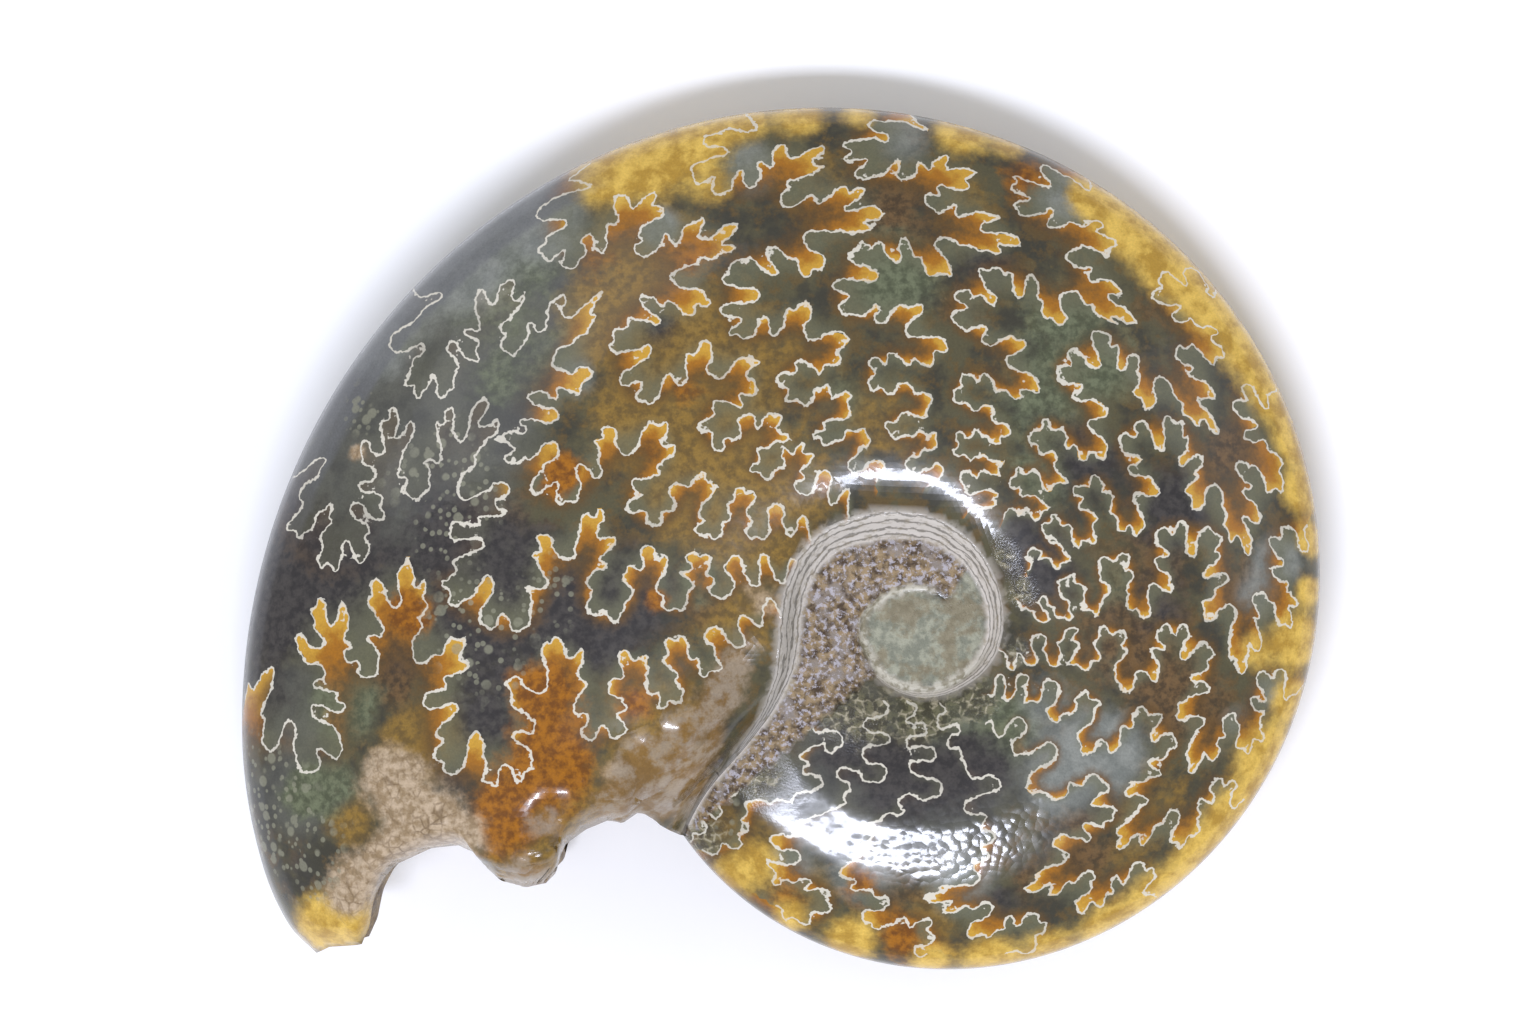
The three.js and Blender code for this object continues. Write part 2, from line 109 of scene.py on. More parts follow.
SUTURES = (
    """
    245 700, 249 682, 253 689, 262 680, 265 672, 277 667, 275 683, 268 700, 263 713, 267 718, 265 740,
    270 748, 276 749, 282 742, 286 730, 290 720, 297 718, 300 730, 298 745, 303 763, 305 768, 312 769,
    322 767, 326 760, 322 750, 325 746, 332 750, 343 755, 348 743, 342 728, 335 721, 325 717, 318 712,
    317 704, 325 703, 335 707, 345 710, 351 703, 342 697, 343 690, 332 687, 320 686, 320 680, 328 676,
    330 670, 324 662, 310 661, 308 654, 303 648, 301 640, 301 634, 309 636, 315 645, 325 646, 331 642,
    326 633, 320 627, 319 617, 315 608, 321 605, 323 597, 330 603, 332 618, 338 624, 343 616, 345 605,
    348 601, 353 612, 353 625, 350 637, 357 645, 350 649, 350 655, 354 661, 363 658, 364 668, 368 674,
    380 673, 384 665, 385 655, 382 645, 375 640, 374 634, 380 633, 387 636, 390 627, 386 620, 378 608,
    373 599, 378 595, 377 585, 381 577, 388 583, 391 595, 396 603, 404 605, 407 597, 403 580, 405 570,
    412 560, 414 556, 420 575, 420 585, 425 586, 431 578, 431 590, 430 598, 434 602, 432 608, 425 617,
    429 623, 424 630, 419 640, 420 653, 425 660, 433 659, 440 652, 448 652, 452 643, 457 635, 462 637,
    470 635, 472 638, 467 650, 465 657, 473 658, 474 665, 467 669, 455 672, 450 674, 452 683, 440 687,
    433 690, 430 699, 436 704, 447 703, 458 699, 463 702, 462 709, 455 715, 447 721, 442 728, 448 733,
    449 738, 443 743, 441 752, 449 755, 450 762, 457 768, 463 767, 470 758, 473 750, 476 735, 483 727,
    490 737, 489 750, 493 758, 491 768, 489 774, 497 777, 503 779, 506 765, 511 758, 517 762, 521 772,
    527 776, 530 765, 538 762, 535 745, 530 740, 519 733, 517 728, 526 726, 538 729, 540 722, 538 713,
    528 706, 517 700, 518 690, 512 682, 514 676, 522 673, 528 678, 532 684, 538 688, 548 688, 552 680,
    552 665, 548 655, 547 645, 550 640, 556 640, 560 634, 567 640, 568 650, 575 655, 582 650, 587 645,
    587 655, 584 665, 582 674, 590 677, 591 683, 583 690, 579 700, 579 708, 591 709, 591 717, 586 722,
    588 730, 595 735, 600 732, 602 723, 608 720, 613 729, 619 732, 628 728, 628 720, 620 710, 627 706,
    629 702, 624 693, 614 690, 613 682, 616 674, 625 674, 626 665, 622 655, 624 648, 629 646, 633 653,
    638 658, 643 653, 649 652, 650 660, 649 675, 650 685, 655 690, 661 687, 662 693, 660 702, 664 705,
    668 702, 671 696, 680 699, 684 690, 682 683, 677 677, 680 672, 675 665, 668 660, 666 655, 670 650,
    668 640, 670 634, 677 638, 683 634, 689 638, 690 650, 693 656, 700 655, 700 668, 706 674, 712 667,
    721 667, 721 660, 716 650, 715 643, 707 637, 708 628, 716 624, 722 628, 728 636, 735 643, 742 645,
    745 638, 740 625, 740 614, 745 613, 755 620, 760 625, 763 612, 766 598, 771 597, 777 606, 781 615
    """,
    """
    293 478, 305 470, 314 464, 322 459, 328 461, 323 469, 321 476, 312 482, 303 489, 301 500, 306 503,
    302 510, 294 517, 289 525, 291 530, 297 530, 301 538, 308 533, 314 530, 318 522, 321 513, 329 508,
    333 504, 335 510, 333 516, 336 522, 329 528, 324 537, 326 547, 325 555, 320 559, 325 566, 333 562,
    340 570, 345 563, 347 550, 350 539, 355 545, 359 555, 365 562, 370 556, 375 550, 373 543, 370 537,
    374 532, 372 525, 362 520, 357 513, 354 508, 358 503, 367 506, 372 515, 379 519, 387 519, 389 512,
    384 508, 386 497, 378 492, 367 492, 363 485, 370 482, 378 480, 381 476, 374 467, 368 464, 365 455,
    364 447, 370 440, 375 450, 381 456, 388 452, 387 440, 385 430, 385 420, 392 422, 395 408, 402 416,
    399 438, 405 438, 415 422, 417 435, 411 445, 407 455, 403 470, 402 477, 412 478, 409 485, 406 491,
    415 496, 423 500, 430 493, 434 485, 434 470, 430 463, 435 460, 443 464, 446 455, 442 440, 440 425,
    447 426, 450 413, 456 409, 459 418, 457 430, 461 440, 468 441, 473 428, 477 410, 490 400, 492 408,
    486 418, 484 428, 493 428, 502 421, 504 427, 499 436, 490 441, 488 447, 480 457, 480 465, 468 475,
    463 487, 467 497, 475 499, 485 493, 495 490, 500 484, 510 484, 514 491, 508 498, 500 502, 504 509,
    512 509, 508 515, 495 516, 483 517, 485 524, 470 523, 461 522, 455 530, 458 538, 475 538, 489 539,
    487 548, 475 553, 463 558, 459 563, 463 570, 455 577, 448 582, 456 590, 455 600, 463 604, 472 598,
    480 592, 485 582, 494 575, 499 580, 496 593, 490 603, 485 617, 492 623, 498 627, 503 618, 509 611,
    515 618, 518 628, 524 629, 529 624, 534 622, 536 605, 536 595, 532 588, 530 585, 536 586, 547 587,
    551 583, 551 577, 546 570, 543 560, 537 555, 540 552, 546 550, 543 540, 541 535, 548 534, 555 537,
    557 545, 560 552, 568 558, 576 557, 580 553, 578 546, 583 540, 584 528, 585 518, 590 514, 596 518,
    601 514, 603 508, 607 518, 602 525, 600 535, 602 538, 610 538, 617 536, 619 541, 612 549, 604 555,
    606 560, 610 563, 607 568, 600 568, 595 572, 591 578, 591 585, 597 588, 593 597, 590 606, 595 611,
    600 612, 607 607, 611 613, 618 620, 625 613, 627 603, 634 595, 636 588, 631 583, 625 578, 629 570,
    631 564, 638 568, 645 568, 646 560, 643 555, 646 548, 653 545, 658 550, 660 560, 666 556, 670 560,
    666 570, 662 578, 659 585, 660 590, 666 594, 665 603, 669 608, 677 607, 685 607, 688 600, 689 590,
    695 583, 688 576, 684 572, 692 568, 693 562, 689 558, 691 552, 697 550, 700 557, 709 553, 711 560,
    708 570, 706 573, 714 576, 712 585, 712 592, 720 596, 728 594, 733 590, 735 580, 727 568, 731 556,
    739 555, 743 560, 745 570, 749 580, 754 584, 760 583, 760 570, 760 558, 763 553, 768 556, 770 565,
    776 578, 783 581, 787 570, 789 560, 793 557, 798 563
    """,
    """
    413 288, 420 297, 440 294, 443 299, 430 307, 422 315, 411 325, 395 334, 391 345, 398 353, 410 352,
    421 345, 427 348, 425 354, 416 362, 412 375, 408 385, 412 388, 417 387, 419 398, 423 399, 430 388,
    436 375, 440 385, 441 395, 445 399, 452 393, 457 390, 458 378, 461 370, 459 362, 454 355, 450 350,
    452 345, 456 342, 462 348, 468 358, 475 363, 482 361, 479 352, 482 345, 477 340, 468 337, 467 331,
    475 331, 483 332, 482 320, 477 310, 478 300, 481 294, 485 292, 490 303, 496 308, 500 300, 503 287,
    516 282, 517 288, 514 295, 518 303, 523 300, 527 295, 527 302, 520 311, 513 320, 505 327, 505 334,
    510 338, 505 342, 506 350, 515 357, 523 351, 530 340, 533 335, 531 328, 535 325, 540 333, 548 332,
    550 315, 553 307, 560 301, 566 297, 568 303, 565 315, 570 320, 578 317, 590 305, 602 296, 602 300,
    594 313, 593 318, 599 319, 592 330, 588 336, 578 341, 575 347, 565 349, 558 358, 556 368, 563 372,
    575 376, 582 371, 590 370, 596 377, 590 383, 584 388, 583 396, 567 390, 561 391, 561 402, 556 400,
    545 392, 533 397, 534 403, 545 408, 560 412, 562 418, 552 424, 530 421, 523 423, 528 428, 530 434,
    515 433, 504 438, 500 441, 510 443, 518 448, 520 452, 512 455, 510 460, 520 465, 526 462, 530 457,
    535 460, 545 450, 555 443, 562 446, 560 460, 550 465, 545 472, 538 480, 537 490, 541 496, 550 488,
    558 482, 562 486, 560 500, 565 505, 570 502, 580 502, 582 493, 586 488, 582 480, 580 470, 582 465,
    590 468, 597 478, 603 477, 604 470, 602 460, 602 450, 597 443, 600 440, 606 440, 606 432, 612 429,
    618 432, 620 447, 628 457, 635 453, 642 445, 646 430, 655 424, 663 427, 669 425, 668 438, 663 443,
    665 448, 676 447, 675 455, 665 462, 660 468, 662 474, 655 477, 640 480, 634 484, 638 490, 645 495,
    640 498, 633 500, 630 508, 633 512, 648 511, 649 522, 658 526, 664 522, 665 512, 674 512, 677 505,
    675 498, 671 493, 674 487, 681 484, 690 488, 695 482, 700 474, 706 472, 708 482, 717 485, 716 492,
    708 500, 702 505, 700 515, 705 520, 698 525, 698 532, 705 535, 710 533, 715 538, 723 534, 724 522,
    731 518, 730 510, 728 505, 734 500, 735 492, 742 488, 748 495, 755 494, 752 505, 746 512, 752 520,
    746 530, 750 538, 758 536, 763 539, 768 530, 769 520, 767 512, 770 507, 775 504, 782 508, 782 520,
    784 530, 789 535, 794 532, 797 522, 803 515, 806 525, 810 540
    """,
    """
    590 163, 578 173, 569 180, 580 183, 591 187, 585 191, 570 194, 555 200, 543 207, 538 217, 545 222,
    560 221, 566 223, 565 230, 550 237, 548 244, 541 250, 543 256, 550 263, 558 259, 566 252, 566 260,
    564 268, 570 271, 578 270, 580 263, 587 258, 587 250, 583 243, 587 238, 594 238, 597 250, 605 257,
    608 245, 609 228, 617 227, 619 220, 616 213, 616 200, 625 197, 630 203, 634 211, 640 207, 645 200,
    655 195, 657 200, 653 208, 664 210, 664 218, 655 223, 643 230, 640 238, 643 243, 636 250, 640 258,
    650 259, 660 250, 664 240, 667 236, 671 245, 677 248, 682 240, 685 230, 695 226, 704 222, 703 230,
    698 240, 708 243, 716 238, 725 230, 738 229, 732 238, 722 248, 735 250, 732 255, 722 258, 712 263,
    701 262, 698 268, 685 271, 675 276, 671 281, 678 288, 688 293, 700 292, 706 296, 706 302, 711 305,
    708 309, 698 308, 695 313, 693 319, 685 318, 678 310, 670 304, 665 310, 660 307, 655 301, 647 300,
    641 303, 645 310, 655 317, 663 324, 658 328, 648 324, 635 322, 630 325, 629 331, 618 332, 617 342,
    614 350, 618 355, 635 354, 650 348, 652 355, 647 362, 637 369, 625 376, 624 385, 630 388, 643 383,
    642 393, 638 400, 652 404, 660 398, 665 383, 670 376, 677 383, 683 389, 688 380, 688 358, 695 358,
    700 350, 705 345, 712 348, 712 360, 709 370, 712 378, 720 380, 728 375, 735 365, 745 360, 755 362,
    760 365, 750 372, 747 380, 755 385, 755 395, 748 397, 740 397, 743 408, 738 408, 725 404, 714 405,
    716 418, 708 420, 701 425, 700 433, 713 434, 713 448, 722 452, 726 440, 735 442, 741 436, 739 425,
    740 420, 753 417, 756 428, 761 428, 766 418, 780 417, 779 424, 775 430, 779 434, 787 437, 785 443,
    775 443, 768 448, 760 450, 758 458, 761 462, 753 466, 751 472, 760 474, 763 478, 770 480, 774 470,
    783 468, 784 460, 781 458, 785 450, 792 455, 797 447, 803 443, 801 454, 811 455, 811 460, 800 470,
    803 475, 802 480, 795 482, 794 490, 801 494, 807 497, 813 490, 814 483, 817 475, 824 471, 830 478,
    829 485, 827 497, 829 506, 834 503, 840 494, 846 490, 848 492, 846 505, 847 517
    """,
    """
    745 112, 756 128, 750 133, 727 130, 720 135, 706 137, 703 141, 706 147, 720 149, 728 154, 722 158,
    705 163, 692 170, 694 180, 700 187, 706 184, 715 180, 712 192, 718 198, 730 193, 735 180, 742 172,
    744 185, 750 190, 757 186, 760 178, 757 168, 762 165, 768 170, 773 168, 772 158, 776 149, 784 147,
    786 155, 789 161, 800 158, 810 152, 820 149, 823 153, 815 160, 810 163, 815 168, 824 169, 815 174,
    800 180, 788 185, 787 188, 790 193, 783 195, 780 203, 785 210, 793 210, 805 202, 812 199, 815 207,
    823 205, 830 198, 838 191, 845 190, 848 195, 858 191, 863 195, 855 203, 843 212, 850 215, 865 211,
    873 210, 882 217, 878 222, 866 224, 862 227, 870 232, 863 235, 850 237, 832 234, 815 235, 805 238,
    803 245, 810 254, 820 259, 823 266, 820 274, 812 273, 808 279, 802 279, 798 270, 796 263, 788 264,
    783 257, 777 252, 770 251, 766 258, 770 265, 777 275, 775 279, 768 277, 760 270, 752 262, 747 263,
    748 269, 740 265, 732 268, 728 277, 723 283, 728 288, 740 291, 755 292, 760 298, 755 304, 740 307,
    727 307, 721 314, 724 319, 740 320, 741 325, 732 331, 729 338, 738 338, 744 342, 752 338, 758 330,
    760 323, 766 321, 769 328, 770 337, 774 339, 781 332, 785 320, 788 312, 795 314, 800 308, 806 305,
    811 313, 808 322, 804 330, 804 338, 810 343, 818 341, 828 337, 837 336, 848 342, 842 350, 834 354,
    839 362, 835 368, 825 367, 819 376, 813 371, 808 367, 800 364, 795 367, 794 374, 788 376, 780 377,
    776 383, 779 388, 788 391, 787 397, 784 404, 791 402, 797 402, 805 407, 812 400, 815 391, 822 391,
    826 388, 829 395, 830 401, 838 397, 845 394, 849 397, 845 405, 850 415, 843 420, 830 421, 822 424,
    823 431, 813 434, 812 438, 820 440, 822 445, 833 443, 842 440, 845 432, 853 434, 862 430, 864 437,
    868 440, 866 448, 858 448, 855 455, 849 460, 846 466, 850 473, 856 474, 866 466, 873 461, 880 463,
    882 470, 876 475, 875 482
    """,
    """
    911 112, 916 122, 928 131, 915 128, 903 122, 890 122, 872 122, 868 127, 875 133, 885 136, 888 141,
    882 143, 870 140, 855 143, 843 145, 842 149, 851 153, 848 158, 841 161, 848 164, 865 161, 867 164,
    860 171, 853 178, 860 181, 864 184, 873 178, 882 178, 888 170, 895 163, 900 164, 896 175, 898 183,
    905 182, 914 177, 915 167, 918 164, 923 168, 928 173, 933 163, 943 157, 947 160, 944 168, 946 173,
    955 171, 965 171, 973 175, 965 180, 962 183, 967 189, 960 192, 945 190, 936 188, 935 193, 938 198,
    933 198, 925 198, 924 205, 930 213, 940 215, 950 208, 955 210, 953 217, 958 221, 968 218, 975 215,
    985 217, 998 221, 985 225, 978 230, 985 236, 1000 237, 1012 239, 1018 246, 1010 249, 995 248, 998
    253, 996 257, 985 254, 970 251, 962 248, 958 249, 950 243, 940 241, 935 243, 932 250, 938 258, 945
    265, 948 273, 948 280, 940 277, 935 277, 930 279, 924 278, 921 268, 918 261, 912 261, 909 252, 903
    243, 898 243, 896 252, 899 262, 893 266, 886 260, 880 248, 874 246, 870 254, 865 247, 860 246, 856
    253, 848 256, 846 261, 855 268, 870 273, 877 279, 873 284, 865 285, 850 283, 838 282, 831 290, 840
    296, 848 298, 845 303, 838 308, 838 314, 845 318, 858 319, 868 314, 873 307, 877 312, 872 320, 875
    326, 883 325, 888 318, 893 311, 899 308, 906 312, 912 309, 919 309, 919 316, 910 322, 904 330, 905
    337, 913 340, 925 341, 935 340, 941 343, 944 350, 940 354, 930 354, 931 361, 927 369, 918 365, 912
    362, 907 367, 900 363, 893 358, 887 356, 884 360, 883 367, 878 362, 872 360, 867 365, 870 373, 874
    377, 867 382, 866 388, 871 393, 880 390, 885 396, 892 393, 895 386, 902 385, 910 390, 913 397, 920
    395, 928 400, 925 408, 923 415, 924 418, 912 418, 900 415, 896 418, 893 424, 885 422, 883 427, 888
    435, 892 440, 905 437, 908 439, 917 432, 925 437, 933 433, 933 440, 934 447, 927 451, 920 450, 915
    458, 907 457, 903 462, 905 470, 912 474, 925 470, 932 465, 938 466, 940 472, 935 480, 928 486
    """,
    """
    1086 175, 1090 185, 1088 191, 1075 182, 1060 174, 1045 166, 1040 167, 1041 175, 1050 185, 1048 188,
    1040 187, 1030 183, 1012 178, 1015 184, 1010 189, 1012 194, 1022 197, 1028 200, 1022 203, 1014 204,
    1013 210, 1018 217, 1030 219, 1040 216, 1047 211, 1052 215, 1045 224, 1046 229, 1055 230, 1063 226,
    1068 223, 1075 226, 1085 227, 1083 223, 1095 222, 1101 227, 1095 232, 1102 237, 1108 240, 1114 247,
    1107 249, 1106 258, 1100 256, 1090 251, 1080 247, 1076 252, 1068 252, 1063 258, 1067 265, 1075 270,
    1087 270, 1088 273, 1084 279, 1090 284, 1105 283, 1113 287, 1119 295, 1105 296, 1106 303, 1118 309,
    1127 317, 1133 324, 1125 325, 1110 319, 1107 321, 1113 326, 1105 323, 1098 320, 1092 316, 1088 308,
    1080 305, 1077 300, 1072 295, 1062 294, 1057 299, 1057 310, 1060 316, 1062 322, 1058 327, 1051 326,
    1047 320, 1040 321, 1038 315, 1039 305, 1033 300, 1034 291, 1032 284, 1026 278, 1022 283, 1021 297,
    1015 300, 1011 294, 1009 282, 1005 275, 1001 278, 997 273, 990 269, 985 273, 978 272, 976 278, 980
    285, 983 293, 990 297, 993 302, 990 307, 983 305, 978 299, 970 299, 965 294, 958 293, 953 295, 952
    301, 957 305, 964 310, 960 313, 952 314, 948 320, 953 328, 963 332, 972 331, 980 328, 984 331, 980
    337, 979 343, 985 347, 995 344, 1003 339, 1008 338, 1013 343, 1020 343, 1021 349, 1012 355, 1002
    361, 1005 368, 1015 373, 1028 378, 1033 385, 1035 393, 1025 392, 1015 391, 1017 399, 1010 400, 1003
    393, 992 393, 990 386, 985 379, 979 375, 976 382, 973 383, 968 378, 962 376, 957 379, 958 388, 951
    393, 950 400, 953 404, 962 404, 968 411, 972 413, 980 406, 987 408, 991 414, 986 420, 990 424, 998
    424, 1003 428, 1006 434, 1000 437, 995 438, 996 445, 988 442, 983 437, 978 437, 972 430, 968 436,
    963 438, 954 433, 952 440, 955 447, 950 450, 952 455, 963 456, 967 461, 973 458, 980 454, 985 461,
    993 461, 1000 463, 993 468, 997 477, 990 475, 980 472, 975 473, 973 478, 962 472, 955 478, 960 485,
    962 493, 972 494, 980 490, 990 492, 995 494, 990 499, 993 502, 985 507, 972 505, 965 512
    """,
    """
    1216 290, 1213 298, 1205 292, 1208 287, 1203 280, 1198 272, 1190 268, 1184 269, 1182 276, 1185 286,
    1178 282, 1172 277, 1165 273, 1160 275, 1156 282, 1160 289, 1152 291, 1150 298, 1155 303, 1163 307,
    1175 306, 1178 310, 1170 315, 1169 320, 1178 324, 1188 319, 1190 324, 1198 328, 1207 327, 1215 331,
    1214 335, 1209 338, 1212 343, 1218 348, 1222 358, 1213 358, 1210 365, 1205 362, 1200 356, 1195 352,
    1188 346, 1183 350, 1176 348, 1171 354, 1175 362, 1188 368, 1187 371, 1184 375, 1190 380, 1200 382,
    1206 388, 1211 398, 1200 399, 1192 400, 1200 410, 1206 415, 1213 430, 1213 434, 1207 430, 1199 420,
    1195 422, 1193 427, 1185 420, 1178 413, 1177 403, 1172 400, 1168 392, 1164 385, 1157 379, 1150 382,
    1148 393, 1150 403, 1142 411, 1138 408, 1137 400, 1130 397, 1128 393, 1133 388, 1134 380, 1131 373,
    1134 366, 1133 359, 1129 357, 1123 360, 1120 370, 1115 372, 1112 365, 1114 348, 1106 348, 1106 340,
    1100 335, 1093 334, 1087 337, 1088 345, 1092 355, 1096 363, 1093 370, 1085 368, 1079 360, 1075 355,
    1070 350, 1064 352, 1062 357, 1067 365, 1065 368, 1055 367, 1052 373, 1055 381, 1062 385, 1075 385,
    1077 390, 1068 395, 1069 400, 1077 403, 1090 402, 1098 406, 1103 415, 1098 419, 1085 421, 1082 427,
    1090 435, 1098 440, 1101 448, 1099 460, 1092 457, 1087 453, 1082 455, 1080 461, 1073 459, 1072 450,
    1069 446, 1062 449, 1062 440, 1058 430, 1053 429, 1047 432, 1044 423, 1038 421, 1037 432, 1028 433,
    1023 441, 1026 445, 1033 446, 1033 453, 1038 455, 1048 452, 1050 457, 1053 460, 1048 468, 1055 475,
    1061 484, 1050 483, 1047 491, 1043 492, 1038 486, 1034 475, 1028 470, 1024 473, 1020 475, 1014 468,
    1011 475, 1005 482, 1006 487, 1015 489, 1018 496, 1030 495, 1035 500, 1045 508, 1037 512, 1035 519,
    1028 518, 1025 510, 1020 510, 1015 516, 1008 507, 1003 510, 1000 518
    """,
    """
    1276 390, 1270 393, 1266 397, 1266 408, 1262 408, 1257 401, 1251 388, 1247 385, 1241 386, 1238 391,
    1243 399, 1242 402, 1234 401, 1229 405, 1231 411, 1238 418, 1249 421, 1254 425, 1251 428, 1241 431,
    1240 436, 1245 441, 1251 443, 1258 440, 1262 443, 1265 451, 1273 454, 1277 459, 1280 464, 1277 469,
    1276 472, 1280 479, 1280 490, 1277 491, 1272 488, 1267 492, 1263 491, 1261 483, 1258 474, 1255 468,
    1249 466, 1245 467, 1242 462, 1235 462, 1231 466, 1234 473, 1240 482, 1247 485, 1247 489, 1240 489,
    1238 492, 1241 497, 1248 502, 1253 508, 1256 518, 1255 523, 1248 521, 1242 516, 1238 516, 1238 520,
    1242 527, 1247 540, 1246 551, 1243 554, 1238 545, 1233 536, 1230 535, 1227 542, 1224 537, 1223 530,
    1218 525, 1220 518, 1221 512, 1217 507, 1218 499, 1216 491, 1213 486, 1209 484, 1204 487, 1200 493,
    1198 504, 1195 508, 1187 509, 1187 503, 1186 496, 1180 492, 1181 487, 1190 480, 1193 478, 1187 474,
    1197 466, 1198 458, 1193 454, 1187 457, 1176 466, 1173 462, 1175 457, 1180 451, 1183 443, 1181 438,
    1177 437, 1178 425, 1169 423, 1164 418, 1159 420, 1158 429, 1159 440, 1158 449, 1155 452, 1149 446,
    1145 434, 1139 423, 1131 423, 1129 428, 1131 434, 1129 438, 1121 434, 1117 435, 1114 443, 1118 451,
    1122 455, 1133 458, 1137 460, 1134 463, 1124 467, 1122 471, 1128 475, 1143 477, 1147 481, 1151 487,
    1153 492, 1147 496, 1133 493, 1129 495, 1128 499, 1132 507, 1134 513, 1138 519, 1138 525, 1135 530,
    1132 535, 1128 532, 1126 527, 1122 525, 1119 530, 1113 529, 1110 516, 1104 511, 1106 503, 1106 496,
    1102 491, 1097 492, 1097 483, 1092 477, 1086 478, 1084 488, 1075 485, 1069 489, 1069 495, 1078 499,
    1073 507, 1078 510, 1086 511, 1092 519, 1086 523, 1088 532, 1090 539, 1088 544, 1082 541, 1077 540,
    1074 546, 1070 543, 1068 537, 1066 529, 1063 523, 1056 526, 1054 520, 1051 515, 1047 515, 1046 522,
    1038 523, 1038 530, 1042 537, 1048 535, 1046 541, 1057 544, 1059 551, 1065 557, 1064 561, 1057 562,
    1055 567, 1048 565, 1046 558, 1041 556, 1037 557, 1036 551, 1029 547, 1024 552, 1022 558, 1028 562,
    1024 570
    """,
    """
    1305 525, 1302 530, 1304 537, 1307 549, 1301 553, 1297 549, 1296 540, 1291 529, 1285 526, 1279 528,
    1279 538, 1272 536, 1266 537, 1265 542, 1269 550, 1274 557, 1280 562, 1279 566, 1270 566, 1267 569,
    1271 576, 1276 580, 1285 583, 1285 591, 1292 597, 1295 605, 1291 607, 1287 604, 1286 610, 1290 621,
    1287 627, 1282 623, 1277 626, 1272 618, 1271 603, 1263 599, 1260 592, 1254 591, 1249 593, 1249 603,
    1255 613, 1254 617, 1248 616, 1252 623, 1257 638, 1255 651, 1248 646, 1244 642, 1243 658, 1240 671,
    1236 671, 1232 663, 1230 655, 1226 658, 1224 652, 1224 640, 1227 630, 1227 622, 1231 615, 1230 607,
    1225 603, 1218 606, 1212 611, 1210 617, 1203 619, 1198 617, 1198 608, 1196 601, 1205 598, 1209 593,
    1208 590, 1219 584, 1223 577, 1218 571, 1215 571, 1205 576, 1199 577, 1197 573, 1202 567, 1211 561,
    1214 554, 1209 549, 1215 543, 1215 536, 1209 534, 1203 527, 1197 530, 1192 539, 1189 553, 1185 555,
    1181 550, 1181 534, 1180 523, 1172 522, 1169 533, 1165 534, 1159 527, 1153 529, 1150 534, 1152 544,
    1163 552, 1161 556, 1150 557, 1150 563, 1157 570, 1164 574, 1165 582, 1167 587, 1162 591, 1152 584,
    1145 583, 1142 591, 1144 604, 1145 611, 1138 618, 1133 611, 1130 607, 1125 608, 1122 603, 1123 593,
    1121 588, 1127 577, 1126 571, 1118 569, 1123 563, 1122 555, 1116 553, 1112 556, 1109 562, 1105 559,
    1098 556, 1094 560, 1095 567, 1094 573, 1096 580, 1102 583, 1104 591, 1097 597, 1095 609, 1092 616,
    1088 609, 1084 608, 1079 610, 1076 606, 1079 595, 1079 585, 1070 582, 1070 577, 1067 573, 1063 576,
    1055 578, 1055 584, 1058 595, 1064 600, 1065 609, 1068 616, 1063 618, 1057 615, 1054 617, 1051 611,
    1048 605, 1043 604, 1043 596, 1037 595, 1035 599, 1038 607, 1044 612, 1044 619, 1036 621, 1032 617,
    1028 611, 1023 606, 1018 607, 1014 600
    """,
    """
    1302 686, 1298 690, 1290 695, 1283 698, 1282 688, 1284 675, 1280 668, 1272 670, 1271 677, 1266 676,
    1262 670, 1257 671, 1253 677, 1257 687, 1262 695, 1262 700, 1257 701, 1253 697, 1248 696, 1247 700,
    1252 708, 1257 711, 1262 709, 1258 718, 1259 728, 1262 738, 1258 740, 1251 736, 1250 740, 1248 748,
    1245 753, 1241 747, 1233 745, 1234 736, 1236 725, 1232 720, 1231 713, 1224 711, 1219 718, 1218 727,
    1222 733, 1220 735, 1215 735, 1214 742, 1215 751, 1209 759, 1204 756, 1200 749, 1198 757, 1189 769,
    1184 768, 1185 760, 1183 755, 1185 742, 1192 731, 1199 720, 1197 714, 1185 714, 1181 719, 1172 715,
    1174 708, 1174 702, 1180 698, 1186 694, 1193 693, 1202 690, 1204 685, 1197 680, 1185 679, 1186 675,
    1197 670, 1204 665, 1203 659, 1208 654, 1208 649, 1203 644, 1198 639, 1192 643, 1185 652, 1180 658,
    1176 656, 1177 643, 1183 634, 1183 627, 1178 622, 1173 625, 1170 632, 1167 631, 1164 624, 1161 622,
    1155 625, 1151 634, 1153 640, 1159 644, 1157 648, 1147 646, 1146 652, 1151 660, 1153 670, 1152 677,
    1146 678, 1142 671, 1136 668, 1131 670, 1129 679, 1126 688, 1121 690, 1116 688, 1115 680, 1110 677,
    1110 663, 1114 658, 1120 652, 1121 648, 1116 645, 1121 636, 1118 629, 1113 628, 1108 633, 1105 632,
    1103 626, 1098 624, 1094 629, 1095 636, 1090 641, 1092 649, 1096 653, 1094 659, 1086 660, 1084 667,
    1080 669, 1073 662, 1066 662, 1069 654, 1074 642, 1067 638, 1071 633, 1071 627, 1068 626, 1062 630,
    1058 638, 1054 642, 1057 651, 1055 658, 1053 664, 1044 661, 1042 653, 1040 648, 1042 640, 1039 633,
    1030 634, 1027 643, 1032 653, 1032 662, 1024 662, 1020 656, 1015 650, 1012 658, 1010 668, 1004 664,
    1002 652, 996 648
    """,
